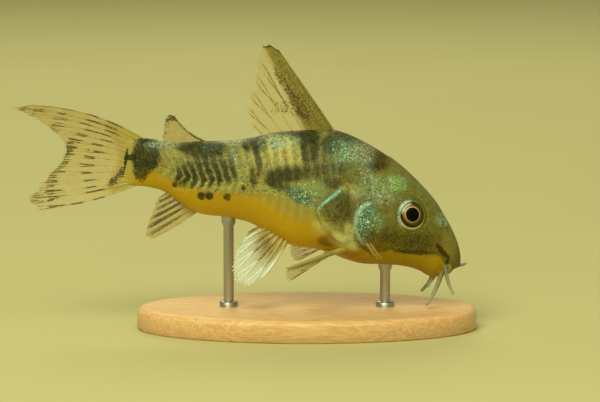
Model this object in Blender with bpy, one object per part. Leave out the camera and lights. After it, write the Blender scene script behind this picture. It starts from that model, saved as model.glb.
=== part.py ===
"""Peppered corydoras catfish, life size, feeding head down over a small display stand.

Heights and distances of the fish are in millimetres: "back" runs from the snout towards the tail, "up"
from the top of the stand, and "out" from the middle of the fish towards one side. The fish faces +X, its
right side faces -Y, and the origin is the middle of the stand's underside.
"""

import math

import bmesh
import bpy
from mathutils import Vector

MM = 0.001
GAP = 0.3

# Sizes of the whole, in millimetres
SNOUT_X = 20.8
BASE_THICK = 3.0
STANDARD_LENGTH = 44.8

# Places along the side view: name, back line (back, up), belly line (back, up), half width, height of the
# widest point as a share of the depth, roundness of the upper and of the lower half of the section
STATIONS = (
    ("snout end", (0.00, 6.02), (0.68, 5.21), 0.45, 0.50, 2.00, 2.00),
    ("snout", (0.03, 7.10), (1.49, 4.74), 1.20, 0.48, 2.05, 2.10),
    ("upper lip", (0.47, 8.86), (2.70, 4.33), 2.00, 0.46, 2.10, 2.15),
    ("barbels", (1.49, 11.15), (4.05, 4.13), 2.85, 0.44, 2.10, 2.30),
    ("nostril", (3.24, 13.99), (5.80, 5.07), 3.65, 0.43, 2.10, 2.45),
    ("eye", (5.67, 16.82), (7.97, 5.68), 4.45, 0.42, 2.05, 2.60),
    ("cheek", (8.50, 19.45), (10.67, 5.93), 5.20, 0.38, 2.00, 2.70),
    ("gill cover", (11.60, 21.60), (13.37, 6.09), 5.65, 0.34, 1.95, 2.80),
    ("nape", (15.00, 23.37), (15.66, 6.70), 5.80, 0.33, 1.85, 2.85),
    ("dorsal spine", (17.30, 24.04), (17.50, 7.44), 5.70, 0.33, 1.78, 2.85),
    ("dorsal fin", (19.70, 24.04), (19.70, 8.05), 5.45, 0.35, 1.78, 2.75),
    ("belly", (22.70, 23.90), (22.70, 8.45), 5.10, 0.38, 1.80, 2.60),
    ("pelvic fins", (25.40, 23.64), (25.40, 9.80), 4.70, 0.42, 1.85, 2.40),
    ("flank", (28.50, 22.90), (28.50, 11.50), 4.15, 0.44, 1.88, 2.20),
    ("vent", (31.90, 22.56), (31.90, 12.26), 3.60, 0.46, 1.90, 2.10),
    ("anal fin", (35.20, 22.50), (35.20, 12.70), 3.00, 0.48, 1.95, 2.00),
    ("adipose fin", (37.30, 22.35), (37.30, 13.78), 2.65, 0.50, 2.00, 2.00),
    ("tail stalk", (40.00, 22.50), (40.00, 15.67), 2.10, 0.50, 2.00, 2.00),
    ("tail stalk end", (42.40, 22.90), (42.40, 16.35), 1.55, 0.50, 2.00, 2.00),
    ("tail fin root", (44.80, 22.76), (44.80, 16.50), 0.95, 0.50, 2.00, 2.00),
)

# Bony plates of the flank, in two rows that meet along the side
FIRST_PLATE = 15.3
PLATE_PITCH = 1.34
TRUNK_PLATES = 18
TAIL_PLATES = 4
PLATE_LIFT = 0.24
PLATE_TUCK = 0.16
SIDE_LINE = 0.52
PLATE_SLANT_FRONT = 1.0
PLATE_SLANT_REAR = 2.3

# The gill opening, as distances behind the snout at the throat, halfway up and at the nape
GILL_THROAT = 11.6
GILL_SIDE = 14.6
GILL_NAPE = 15.7
HEAD_SLANT_FROM = 8.5
TRUNK_SLANT_FROM = 19.5

# Columns of a ring below and above the side line, and rings of the head and of the smooth body
COLUMNS_LOW = 7
COLUMNS_HIGH = 8
HEAD_RINGS = 21
ENVELOPE_RINGS = 47

# Eye
EYE_PLACE = (6.38, 12.95)
EYE_RADIUS = 1.70
EYE_PROUD = 0.62
LID_RADIUS = 1.98
LID_THICK = 0.32

# Mouth, on the underside of the snout: distance behind the snout and half its turn round the snout
MOUTH_ALONG = 1.25
MOUTH_TURN = 0.85
MOUTH_BEND = 0.30
LIP_THICK = 0.34
MOUTH_SLIT = 0.17
MOUTH_POINTS = 11
UPPER_LIP_AHEAD = 0.42
LOWER_LIP_BEHIND = 0.48

NOSTRIL_PLACE = (2.55, 11.30)
NOSTRIL_RADIUS = 0.30

# Bony plates of the head and shoulder, as rounded outlines through (back, up) corners
GILL_COVER = (
    (9.3, 14.3), (11.9, 15.0), (13.6, 13.9), (14.1, 11.6),
    (13.1, 9.2), (11.4, 7.6), (9.3, 8.9), (8.8, 11.6),
)
SHOULDER_PLATE = (
    (15.5, 16.4), (17.6, 15.3), (19.5, 13.6), (18.2, 11.2),
    (16.4, 9.6), (15.2, 9.9), (15.3, 13.0),
)
BONE_LIFT = 0.30
BONE_ROOT = 0.50
BONE_POINTS = 18

# Fins: the thickness of the web and of the rays, where along a ray its two branches part, how deep the web
# sinks between them and how far apart they end, as a share of the space between rays, how much shorter the
# web is than the rays, and where the rim thins and by how much
WEB = 0.50
RAY_ROOT = 0.95
RAY_TIP = 0.56
FORK = 0.45
FORK_BLEND = 0.12
SUNK_BETWEEN = 0.9
SPINE_TAPER = 0.6
RIDGE_HALF = 0.13
BRANCHES_APART = 0.26
NOTCH = 0.05
TIP_FROM = 0.86
TIP_THINNED = 0.55
FIN_ROWS = 7

# The fins of the middle: name, roots of the first and last ray, ray tips, bows of these two rays, and how
# many times thicker the first ray is than the others
MIDDLE_FINS = (
    (
        "dorsal_fin",
        ((16.5, 22.9), (25.4, 22.7)),
        (
            (24.7, 34.7), (25.9, 35.4), (26.9, 35.2), (27.8, 33.9),
            (28.0, 31.7), (28.7, 29.4), (29.3, 27.2), (28.4, 24.9),
        ),
        ((-0.1, 0.1), (0.0, 0.2)),
        1.35,
    ),
    (
        "adipose_fin",
        ((32.6, 22.0), (39.8, 21.6)),
        ((39.1, 26.1), (40.0, 24.9), (40.3, 23.0)),
        ((1.2, -1.0), (0.0, 0.0)),
        1.0,
    ),
    (
        "tail_fin_upper",
        ((42.7, 22.6), (44.1, 19.84)),
        (
            (58.0, 27.5, 0.5), (60.6, 27.1, 0.6), (58.6, 26.2, 0.5), (56.8, 25.2, 0.5),
            (55.2, 24.0, 0.4), (54.0, 22.8, 0.4), (53.3, 21.6, 0.3),
        ),
        ((-0.5, 2.3), (0.0, 0.1)),
        1.0,
    ),
    (
        "tail_fin_lower",
        ((44.1, 19.36), (43.4, 16.9)),
        (
            (53.6, 20.5, 0.3), (54.4, 19.2, 0.3), (55.8, 18.1, 0.4), (56.8, 16.7, 0.4),
            (58.0, 15.3, 0.5), (58.9, 14.6, 0.5), (56.9, 13.1, 0.6),
        ),
        ((0.0, 0.0), (-0.3, -1.3)),
        1.0,
    ),
    (
        "anal_fin",
        ((35.0, 13.5), (38.9, 16.0)),
        (
            (41.8, 9.2, 0.3), (42.8, 9.6, 0.3), (42.5, 10.9, 0.2), (42.1, 12.0, 0.2),
            (41.7, 13.0, 0.1), (41.3, 14.1, 0.1), (40.8, 14.9, 0.1),
        ),
        ((0.0, -0.5), (0.0, -0.2)),
        1.1,
    ),
)

# The paired fins, as they are on the right side
PAIRED_FINS = (
    (
        "pelvic_fin_",
        ((23.3, 10.0, 2.4), (25.7, 11.2, 2.1)),
        (
            (26.9, 4.6, 4.6), (29.0, 3.5, 5.3), (30.4, 4.2, 5.4),
            (30.9, 5.9, 5.0), (30.5, 7.9, 4.4), (29.3, 9.8, 3.7),
        ),
        ((-0.5, -0.9, 0.5), (0.2, 0.2, 0.3)),
        1.2,
    ),
    (
        "pectoral_fin_",
        ((14.9, 8.7, 3.8), (17.5, 8.4, 3.2)),
        (
            (23.5, 7.1, 12.2), (23.8, 6.3, 11.5), (23.7, 5.5, 10.6), (23.2, 4.9, 9.4),
            (22.5, 5.1, 8.0), (21.8, 5.7, 6.4), (21.2, 6.3, 4.9),
        ),
        ((0.0, 0.2, 0.6), (0.0, 0.1, 0.0)),
        1.35,
    ),
)
LEFT_FINS_AHEAD = 0.5
LEFT_FINS_LOWER = 0.2

# Barbels: root, bend and tip, then the thickness at the root and at the tip
BARBELS = (
    ("barbel_right_rear", (2.5, 5.7, 1.3), (2.8, 3.4, 2.3), (4.6, 0.75, 2.5), 0.80, 0.50),
    ("barbel_right_front", (2.1, 5.8, 1.5), (2.1, 3.9, 2.6), (1.1, 2.2, 2.9), 0.70, 0.45),
    ("barbel_left_rear", (2.6, 5.6, -1.3), (3.3, 3.6, -2.4), (5.1, 1.7, -2.7), 0.80, 0.50),
    ("barbel_left_front", (1.9, 5.9, -1.5), (0.4, 4.7, -3.0), (-0.9, 5.3, -3.5), 0.70, 0.45),
    ("barbel_chin_right", (3.6, 5.2, 0.6), (3.8, 4.0, 0.8), (4.4, 2.9, 1.0), 0.60, 0.45),
    ("barbel_chin_left", (3.6, 5.2, -0.6), (3.8, 4.0, -0.8), (4.4, 2.9, -1.0), 0.60, 0.45),
)
BARBEL_STEPS = 7
BARBEL_SIDES = 8

# Stand
BASE_HALF_LENGTH = 23.0
BASE_HALF_WIDTH = 12.0
BASE_EDGE = 0.6
BASE_FOOT_INSET = 0.25
BASE_POINTS = 56
ROD_RADIUS = 0.7
ROD_BACKS = (10.2, 31.4)
ROD_TOPS = (8.0, 14.0)

# Colours, as linear red, green and blue
OLIVE = (0.150, 0.150, 0.055)
FIN_STRAW = (0.480, 0.400, 0.150)
BARBEL_GREY = (0.420, 0.400, 0.260)
EYE_BLACK = (0.010, 0.010, 0.012)
MAPLE = (0.560, 0.400, 0.240)
STEEL = (0.560, 0.570, 0.580)


def material(name, colour, roughness, metallic=0.0):
    made = bpy.data.materials.new(name)
    made.use_nodes = True
    shader = made.node_tree.nodes["Principled BSDF"]
    shader.inputs["Base Color"].default_value = (*colour, 1.0)
    shader.inputs["Roughness"].default_value = roughness
    shader.inputs["Metallic"].default_value = metallic
    return made


def place(back, up, out=0.0):
    """A point in the scene from its place on the fish. Out is positive on the fish's right side."""
    return Vector(((SNOUT_X - back) * MM, -out * MM, (BASE_THICK + up) * MM))


def clear_scene():
    for old in list(bpy.data.objects):
        bpy.data.objects.remove(old)


def new_object(name, points, faces, finish):
    mesh = bpy.data.meshes.new(name)
    mesh.from_pydata([tuple(p) for p in points], [], faces)
    mesh.materials.append(finish)
    mesh.shade_smooth()
    mesh.set_sharp_from_angle(angle=math.radians(50))
    made = bpy.data.objects.new(name, mesh)
    bpy.context.scene.collection.objects.link(made)
    return made


def face_out(obj):
    """Turns the faces of one closed body outwards."""
    bm = bmesh.new()
    bm.from_mesh(obj.data)
    bmesh.ops.recalc_face_normals(bm, faces=bm.faces)
    bm.to_mesh(obj.data)
    bm.free()
    return obj


def keep_largest(obj):
    """Drops the small closed surfaces that a cut or a union can leave."""
    bm = bmesh.new()
    bm.from_mesh(obj.data)
    left = set(bm.faces)
    groups = []
    while left:
        group = set()
        edge_of_group = [left.pop()]
        while edge_of_group:
            face = edge_of_group.pop()
            group.add(face)
            near = {other for edge in face.edges for other in edge.link_faces}
            edge_of_group.extend(near & left)
            left -= near
        groups.append(group)
    groups.sort(key=lambda faces: sum(face.calc_area() for face in faces))
    spare = [face for group in groups[:-1] for face in group]
    bmesh.ops.delete(bm, geom=spare, context="FACES")
    bm.to_mesh(obj.data)
    bm.free()


def combine(obj, others, operation):
    """Fuses the other closed bodies to obj, or cuts them from it, in one Boolean that is then applied."""
    group = bpy.data.collections.new(obj.name + "_others")
    for other in others:
        group.objects.link(other)
    modifier = obj.modifiers.new(operation.lower(), "BOOLEAN")
    modifier.operation = operation
    modifier.operand_type = "COLLECTION"
    modifier.collection = group
    modifier.solver = "EXACT"
    graph = bpy.context.evaluated_depsgraph_get()
    result = bpy.data.meshes.new_from_object(obj.evaluated_get(graph))
    obj.modifiers.clear()
    obj.data = result
    bpy.data.collections.remove(group)
    keep_largest(obj)
    return obj


def remove(objects):
    for obj in objects:
        bpy.data.objects.remove(obj)


def loft(name, rings, finish):
    """A closed body through rings of equal count, with each end closed by a fan round its own middle."""
    count = len(rings[0])
    points = [point for ring in rings for point in ring]
    faces = []
    for row in range(len(rings) - 1):
        for step in range(count):
            after = (step + 1) % count
            a, b = row * count + step, row * count + after
            faces.append((a, b, b + count))
            faces.append((a, b + count, a + count))
    for row, turned in ((0, False), (len(rings) - 1, True)):
        middle = len(points)
        points.append(sum(rings[row], Vector()) / count)
        for step in range(count):
            edge = (row * count + step, row * count + (step + 1) % count)
            faces.append((middle, *(edge if turned else edge[::-1])))
    return face_out(new_object(name, points, faces, finish))


def tube(name, route, radii, sides, finish):
    """A closed round rod along a list of points, with its own radius at each of them."""
    rings = []
    upright = Vector((0.0, 0.0, 1.0))
    for index, point in enumerate(route):
        ahead = route[min(index + 1, len(route) - 1)] - route[max(index - 1, 0)]
        ahead.normalize()
        if abs(ahead.dot(upright)) > 0.9:
            upright = Vector((0.0, 1.0, 0.0))
        sideways = ahead.cross(upright).normalized()
        upright = sideways.cross(ahead).normalized()
        turns = [2 * math.pi * side / sides for side in range(sides)]
        rings.append(
            [point + (sideways * math.cos(t) + upright * math.sin(t)) * radii[index] for t in turns]
        )
    return loft(name, rings, finish)


def ring_tube(name, route, radius, sides, finish):
    """A closed round rod that runs round a closed list of points."""
    count = len(route)
    middle = sum(route, Vector()) / count
    points = []
    for index, point in enumerate(route):
        ahead = (route[(index + 1) % count] - route[index - 1]).normalized()
        away = (point - middle).normalized()
        lift = ahead.cross(away).normalized()
        away = lift.cross(ahead).normalized()
        for side in range(sides):
            turn = 2 * math.pi * side / sides
            points.append(point + (away * math.cos(turn) + lift * math.sin(turn)) * radius)
    faces = []
    for index in range(count):
        after = (index + 1) % count
        for side in range(sides):
            beside = (side + 1) % sides
            a, b = index * sides + side, index * sides + beside
            c, d = after * sides + beside, after * sides + side
            faces.append((a, b, c))
            faces.append((a, c, d))
    return face_out(new_object(name, points, faces, finish))


def ball(name, centre, radius, around, rings, finish):
    mesh = bpy.data.meshes.new(name)
    bm = bmesh.new()
    bmesh.ops.create_uvsphere(bm, u_segments=around, v_segments=rings, radius=radius)
    bmesh.ops.translate(bm, verts=bm.verts, vec=centre)
    bm.to_mesh(mesh)
    bm.free()
    mesh.materials.append(finish)
    mesh.shade_smooth()
    made = bpy.data.objects.new(name, mesh)
    bpy.context.scene.collection.objects.link(made)
    return made


# Body surface


def ease(low, high, value):
    """0 below low, 1 above high, and smooth between them."""
    share = min(1.0, max(0.0, (value - low) / (high - low)))
    return share * share * (3 - 2 * share)


def flattened(station):
    _, (back_top, up_top), (back_low, up_low), *shape = station
    return (back_top, up_top, back_low, up_low, *shape)


ROWS = [flattened(station) for station in STATIONS]
ALONG = [(row[0] + row[2]) / 2 for row in ROWS]


def section(along):
    """The section's sizes at a distance behind the snout, from a smooth curve through the stations."""
    last = len(ROWS) - 2
    here = max(0, min(last, sum(1 for value in ALONG if value <= along) - 1))
    span = ALONG[here + 1] - ALONG[here]
    share = (along - ALONG[here]) / span

    def slope(index, channel):
        low, high = max(0, index - 1), min(len(ROWS) - 1, index + 1)
        return (ROWS[high][channel] - ROWS[low][channel]) / (ALONG[high] - ALONG[low]) * span

    square, cube = share * share, share**3
    sizes = []
    for channel in range(len(ROWS[0])):
        start, end = ROWS[here][channel], ROWS[here + 1][channel]
        value = start * (2 * cube - 3 * square + 1) + end * (3 * square - 2 * cube)
        value += slope(here, channel) * (cube - 2 * square + share)
        value += slope(here + 1, channel) * (cube - square)
        sizes.append(value)
    return sizes


def signed_power(value, power):
    return math.copysign(abs(value) ** power, value)


def height_share(sizes, angle):
    """How far up the section's depth an angle lies, from 0 at the belly to 1 at the back."""
    widest, upper, lower = sizes[5:8]
    if abs(angle) < math.pi / 2:
        return widest * (1 - math.cos(angle) ** (2 / lower))
    return widest + (1 - widest) * (-math.cos(angle)) ** (2 / upper)


def angle_at(sizes, share):
    """The angle whose height in the section is the given share of the depth."""
    widest, upper, lower = sizes[5:8]
    if share < widest:
        return math.acos(max(0.0, (widest - share) / widest) ** (lower / 2))
    return math.pi - math.acos(min(1.0, (share - widest) / (1 - widest)) ** (upper / 2))


def bare_skin(along, angle):
    """A point of the smooth body. The angle runs from 0 at the belly to pi at the back."""
    sizes = section(along)
    back_top, up_top, back_low, up_low, half_width, _, upper, lower = sizes
    share = height_share(sizes, angle)
    power = 2 / (lower if abs(angle) < math.pi / 2 else upper)
    out = half_width * signed_power(math.sin(angle), power)
    back = back_low + (back_top - back_low) * share
    up = up_low + (up_top - up_low) * share
    return place(back, up, out)


def outward(along, angle):
    """The direction that points out of the smooth body."""
    step, turn = 0.05, 0.02
    near_poles = min(max(angle, turn), math.pi - turn)
    lengthwise = bare_skin(along + step, angle) - bare_skin(along - step, angle)
    roundwise = bare_skin(along, near_poles + turn) - bare_skin(along, near_poles - turn)
    if angle <= 0.0 or angle >= math.pi:
        roundwise = Vector((0.0, -1.0 if angle <= 0.0 else 1.0, 0.0))
    return roundwise.cross(lengthwise).normalized()


def skin(along, angle, lift=0.0):
    """A point of the body, lifted off it by a distance in millimetres."""
    return bare_skin(along, angle) + outward(along, angle) * (lift * MM)


def across(point):
    """The same point on the other side of the fish."""
    return Vector((point.x, -point.y, point.z))


def gill_line(share):
    """Distance behind the snout of the gill opening, at a share of the body's depth."""
    middle = GILL_SIDE - (GILL_THROAT + GILL_NAPE) / 2
    return GILL_THROAT + (GILL_NAPE - GILL_THROAT) * share + middle * 4 * share * (1 - share)


def slant(along, share):
    """How far a ring of the body leans back at a height, so that its rings follow gill and plates."""
    gill = gill_line(share) - GILL_SIDE
    if along < GILL_SIDE:
        return gill * ease(HEAD_SLANT_FROM, GILL_SIDE, along)
    amount = PLATE_SLANT_FRONT + (PLATE_SLANT_REAR - PLATE_SLANT_FRONT) * ease(20.0, 40.0, along)
    amount *= 1 - ease(STANDARD_LENGTH - 4.5, STANDARD_LENGTH, along)
    chevron = amount * (abs(share - SIDE_LINE) * 2 - 0.5)
    blend = ease(GILL_SIDE, TRUNK_SLANT_FROM, along)
    return gill * (1 - blend) + chevron * blend


def ring(along, lift):
    """One closed ring of the body, from the belly up the right side and down the left."""
    sizes = section(along)
    side = angle_at(sizes, SIDE_LINE)
    low = [side * step / COLUMNS_LOW for step in range(COLUMNS_LOW)]
    high = [side + (math.pi - side) * step / COLUMNS_HIGH for step in range(COLUMNS_HIGH + 1)]
    right = []
    for angle in low + high:
        share = height_share(sizes, angle)
        right.append(skin(along + slant(along, share), angle, lift * plate_share(along, share)))
    return right + [across(point) for point in reversed(right[1:-1])]


def plate_share(along, share):
    """Full on the plates, less where the two rows meet, and nothing on the naked belly."""
    belly = ease(0.04, 0.16, share + 0.10 * ease(26.0, 34.0, along))
    meeting = 1 - 0.75 * math.exp(-(((share - SIDE_LINE) / 0.045) ** 2))
    return belly * meeting


def head_rings():
    """Rings from the gill opening to the snout, closer together where the snout rounds off."""
    first, last = GILL_SIDE - GAP / 2, ALONG[0]
    shares = [index / (HEAD_RINGS - 1) for index in range(HEAD_RINGS)]
    return [ring(last + (first - last) * (1 - share) ** 1.15, 0.0) for share in shares]


def plate_rings(start, count, first_edge, last_edge):
    """Two rings for each bony plate: a low one at its front and a raised one at its free rear edge."""
    rings = [ring(first_edge, 0.0)]
    for index in range(count):
        front = start + PLATE_PITCH * index + PLATE_TUCK
        rear = start + PLATE_PITCH * (index + 1)
        if index or front > first_edge + PLATE_TUCK:
            rings.append(ring(front, 0.0))
        rings.append(ring(min(rear, last_edge), PLATE_LIFT))
    return rings


def envelope():
    """The whole smooth body, lifted by the gap, which cuts what grows from it clear."""
    rings = []
    for index in range(ENVELOPE_RINGS):
        share = index / (ENVELOPE_RINGS - 1)
        along = ALONG[0] + (STANDARD_LENGTH - ALONG[0]) * share**1.1
        lift = GAP + PLATE_LIFT * ease(GILL_SIDE, FIRST_PLATE + 1, along)
        sizes = section(along)
        side = angle_at(sizes, SIDE_LINE)
        low = [side * step / COLUMNS_LOW for step in range(COLUMNS_LOW)]
        high = [side + (math.pi - side) * step / COLUMNS_HIGH for step in range(COLUMNS_HIGH + 1)]
        right = [skin(along, angle, lift) for angle in low + high]
        rings.append(right + [across(point) for point in reversed(right[1:-1])])
    nose = [point + Vector((GAP * MM, 0.0, 0.0)) for point in rings[0]]
    tail = [point - Vector((GAP * MM, 0.0, 0.0)) for point in rings[-1]]
    return loft("envelope", [nose, *rings[1:], tail], FINISH["skin"])


def on_flank(back, up):
    """(along, angle) of the skin at a place in the side view."""
    low, high = ALONG[0], ALONG[-1]
    for _ in range(40):
        middle = (low + high) / 2
        back_top, up_top, back_low, up_low = section(middle)[:4]
        ahead = (back_top - back_low) * (up - up_low) - (up_top - up_low) * (back - back_low)
        if ahead > 0:
            high = middle
        else:
            low = middle
    sizes = section(middle)
    back_top, up_top, back_low, up_low = sizes[:4]
    run = Vector((back_top - back_low, up_top - up_low))
    share = Vector((back - back_low, up - up_low)).dot(run) / run.length_squared
    return middle, angle_at(sizes, min(0.999, max(0.001, share)))


# Head, trunk and tail


def rounded(corners, count):
    """A smooth closed outline through a few corners, as (back, up) pairs."""
    outline = []
    total = len(corners)
    for index in range(count):
        where = index / count * total
        here = int(where)
        share = where - here
        before, start, end, after = (Vector(corners[(here + shift) % total]) for shift in (-1, 0, 1, 2))
        slope_start, slope_end = (end - before) / 2, (after - start) / 2
        point = start * (2 * share**3 - 3 * share**2 + 1) + end * (3 * share**2 - 2 * share**3)
        point += slope_start * (share**3 - 2 * share**2 + share) + slope_end * (share**3 - share**2)
        outline.append(point)
    return outline


def raised_plate(name, corners, lift, mirrored):
    """A bony plate that stands out of the flank inside a rounded outline, with its root sunk in."""
    outline = rounded(corners, BONE_POINTS)
    middle = sum(outline, Vector((0.0, 0.0))) / len(outline)
    levels = ((1.0, -BONE_ROOT), (1.0, lift * 0.75), (0.9, lift), (0.62, lift), (0.3, lift))
    rings = []
    for size, height in levels:
        flat = [middle + (point - middle) * size for point in outline]
        rings.append([skin(*on_flank(*point), height) for point in flat])
    if mirrored:
        rings = [[across(point) for point in points] for points in rings]
    return loft(name, rings, FINISH["skin"])


def on_both_sides(make):
    """What a maker gives on the right side and, mirrored, on the left."""
    return [make(False), make(True)]


def eye_centre():
    along, angle = on_flank(*EYE_PLACE)
    return skin(along, angle, EYE_PROUD - EYE_RADIUS)


def circle_on_flank(centre, radius, count, lift):
    """A ring of points on the skin that looks round from the side."""
    points = []
    for index in range(count):
        turn = 2 * math.pi * index / count
        back = centre[0] + radius * math.cos(turn)
        up = centre[1] + radius * math.sin(turn)
        points.append(skin(*on_flank(back, up), lift))
    return points


def eye_lid(mirrored):
    """The fold of skin that rings the eye."""
    route = circle_on_flank(EYE_PLACE, LID_RADIUS, 20, 0.0)
    if mirrored:
        route = [across(point) for point in route]
    return ring_tube("lid", route, LID_THICK * MM, 5, FINISH["skin"])


def nostril_rim(mirrored):
    route = circle_on_flank(NOSTRIL_PLACE, NOSTRIL_RADIUS * 1.5, 10, 0.0)
    if mirrored:
        route = [across(point) for point in route]
    return ring_tube("nostril rim", route, NOSTRIL_RADIUS * 0.5 * MM, 5, FINISH["skin"])


def across_snout(along, lift):
    """Points that run across the underside of the snout, bent back towards the corners of the mouth."""
    points = []
    for index in range(MOUTH_POINTS):
        share = 2 * index / (MOUTH_POINTS - 1) - 1
        here = along + MOUTH_BEND * share * share
        point = skin(here, abs(share) * MOUTH_TURN, lift)
        points.append(across(point) if share < 0 else point)
    return points


def lip(along):
    """A soft roll across the snout, half as thick at the corners of the mouth."""
    shares = [2 * index / (MOUTH_POINTS - 1) - 1 for index in range(MOUTH_POINTS)]
    radii = [LIP_THICK * MM * (1 - 0.5 * share**4) for share in shares]
    return tube("lip", across_snout(along, 0.0), radii, 7, FINISH["skin"])


def nostril_pit(mirrored):
    centre = skin(*on_flank(*NOSTRIL_PLACE), NOSTRIL_RADIUS / 6)
    if mirrored:
        centre = across(centre)
    return ball("nostril", centre, NOSTRIL_RADIUS * MM, 8, 6, FINISH["skin"])


def make_head():
    head = loft("head", head_rings(), FINISH["skin"])
    raised = [lip(MOUTH_ALONG - UPPER_LIP_AHEAD), lip(MOUTH_ALONG + LOWER_LIP_BEHIND)]
    raised += on_both_sides(eye_lid) + on_both_sides(nostril_rim)
    raised += on_both_sides(lambda left: raised_plate("gill cover", GILL_COVER, BONE_LIFT, left))
    combine(head, raised, "UNION")
    remove(raised)
    slit = across_snout(MOUTH_ALONG, 0.1)
    cuts = [tube("mouth", slit, [MOUTH_SLIT * MM] * MOUTH_POINTS, 6, FINISH["skin"])]
    for centre in (eye_centre(), across(eye_centre())):
        cuts.append(ball("socket", centre, (EYE_RADIUS + GAP) * MM, 20, 14, FINISH["skin"]))
    cuts += on_both_sides(nostril_pit)
    combine(head, cuts, "DIFFERENCE")
    remove(cuts)
    return head


def make_trunk():
    first = GILL_SIDE + GAP / 2
    last = FIRST_PLATE + PLATE_PITCH * TRUNK_PLATES - GAP / 2
    trunk = loft("trunk", plate_rings(FIRST_PLATE, TRUNK_PLATES, first, last), FINISH["skin"])
    shoulders = on_both_sides(lambda left: raised_plate("shoulder", SHOULDER_PLATE, BONE_LIFT, left))
    combine(trunk, shoulders, "UNION")
    remove(shoulders)
    return trunk


def make_tail():
    start = FIRST_PLATE + PLATE_PITCH * TRUNK_PLATES
    rings = plate_rings(start, TAIL_PLATES, start + GAP / 2, STANDARD_LENGTH)
    rings.append(ring(STANDARD_LENGTH, 0.0))
    return loft("tail_stalk", rings, FINISH["skin"])


def make_eyes():
    """The eyeballs, whole, each in its own socket."""
    centre = eye_centre()
    ball("eye_right", centre, EYE_RADIUS * MM, 18, 12, FINISH["eye"])
    ball("eye_left", across(centre), EYE_RADIUS * MM, 18, 12, FINISH["eye"])


# Fins and barbels


def between(values, where):
    """A point between those of a list, carried a little past its ends."""
    here = max(0, min(len(values) - 2, math.floor(where)))
    return values[here] + (values[here + 1] - values[here]) * (where - here)


def ray_columns(count):
    """(place across the fin, ray, part of the ray) of each column: web, left, middle and right."""
    columns = []
    for ray in range(count):
        if ray:
            columns.append((ray - 0.5, ray, "web"))
        columns += [(ray, ray, part) for part in ("left", "middle", "right")]
    return columns


def fin_thickness(share, ray, part, spine):
    """The fin's thickness, in millimetres: rays stand out of the web, and branch beyond the fork."""
    forked = ease(FORK - FORK_BLEND, FORK + FORK_BLEND, share) if ray or spine <= 1 else 0.0
    height = RAY_ROOT + (RAY_TIP - RAY_ROOT) * share
    if part == "web":
        height = WEB
    elif part == "middle":
        height += (WEB - height) * forked * SUNK_BETWEEN
        height *= 1 + (spine - 1) * (ray == 0) * (1 - SPINE_TAPER * share)
    else:
        height = WEB + (height - WEB) * forked
    return height * (1 - TIP_THINNED * ease(TIP_FROM, 1.0, share))


def fin(name, roots, tips, bows, spine):
    """A fin as one sheet whose rays are ridges raised in its two faces, with its root in the body.

    The roots are those of the first and the last ray, and the bows say how far these two rays bend aside.
    """
    roots = [place(*root) for root in roots]
    ends = [place(*tip) for tip in tips]
    bends = [place(*bow) - place(0.0, 0.0) for bow in bows]
    columns = ray_columns(len(tips))
    spread = len(tips) - 1
    longest = max((end - roots[0]).length for end in ends)

    def middle_of(where, share):
        root = roots[0].lerp(roots[1], where / spread)
        bend = bends[0].lerp(bends[1], where / spread)
        end = between(ends, where)
        control = (root + end) / 2 + bend * ((end - root).length / longest)
        return root * (1 - share) ** 2 + control * (2 * share * (1 - share)) + end * share**2

    def facing(where, share):
        run = middle_of(where, share + 0.01) - middle_of(where, share - 0.01)
        beside = middle_of(where + 0.05, share) - middle_of(where - 0.05, share)
        return run.cross(beside).normalized()

    level = facing(spread / 2, 0.5)
    side_of = {"left": -1, "middle": 0, "web": 0, "right": 1}
    faces_out, faces_in = [], []
    for where, ray, part in columns:
        for row in range(FIN_ROWS + 1):
            share = row / FIN_ROWS
            parting = ease(FORK - FORK_BLEND, 1.0, share)
            here = where + side_of[part] * (RIDGE_HALF + (BRANCHES_APART - RIDGE_HALF) * parting)
            reach = share * (1 - (NOTCH if part == "web" else 0.0))
            point = middle_of(here, reach)
            normal = level.lerp(facing(here, reach), ease(0.05, 0.7, share)).normalized()
            half = normal * (fin_thickness(share, ray, part, spine) * MM / 2)
            faces_out.append(point + half)
            faces_in.append(point - half)
    faces = sheet_faces(len(columns), FIN_ROWS + 1)
    return face_out(new_object(name, faces_out + faces_in, faces, FINISH["fin"]))


def sheet_faces(columns, rows):
    """Triangles of a sheet with a wall round its rim, alike on its two sides.

    The points run down one column after another, first those of one side and then those of the other.
    """
    total = columns * rows
    faces = []
    for column in range(columns - 1):
        for row in range(rows - 1):
            a, b = column * rows + row, (column + 1) * rows + row
            for shift in (0, total):
                faces.append((a + shift, b + shift, b + 1 + shift))
                faces.append((a + shift, b + 1 + shift, a + 1 + shift))
    last = (columns - 1) * rows
    rim = list(range(rows))
    rim += [column * rows + rows - 1 for column in range(1, columns)]
    rim += [last + row for row in range(rows - 2, -1, -1)]
    rim += [column * rows for column in range(columns - 2, 0, -1)]
    for index, a in enumerate(rim):
        b = rim[(index + 1) % len(rim)]
        faces.append((a, b, b + total))
        faces.append((a, b + total, a + total))
    return faces


def make_fins():
    made = []
    for name, roots, tips, bows, spine in MIDDLE_FINS:
        made.append(fin(name, roots, tips, bows, spine))
    for name, roots, tips, bows, spine in PAIRED_FINS:
        for side, sign, ahead, lower in (
            ("right", 1, 0.0, 0.0),
            ("left", -1, LEFT_FINS_AHEAD, LEFT_FINS_LOWER),
        ):
            turned_roots = [(back, up, out * sign) for back, up, out in roots]
            turned_tips = [(back - ahead, up - lower, out * sign) for back, up, out in tips]
            turned_bows = [(back, up, out * sign) for back, up, out in bows]
            made.append(fin(name + side, turned_roots, turned_tips, turned_bows, spine))
    return made


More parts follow.
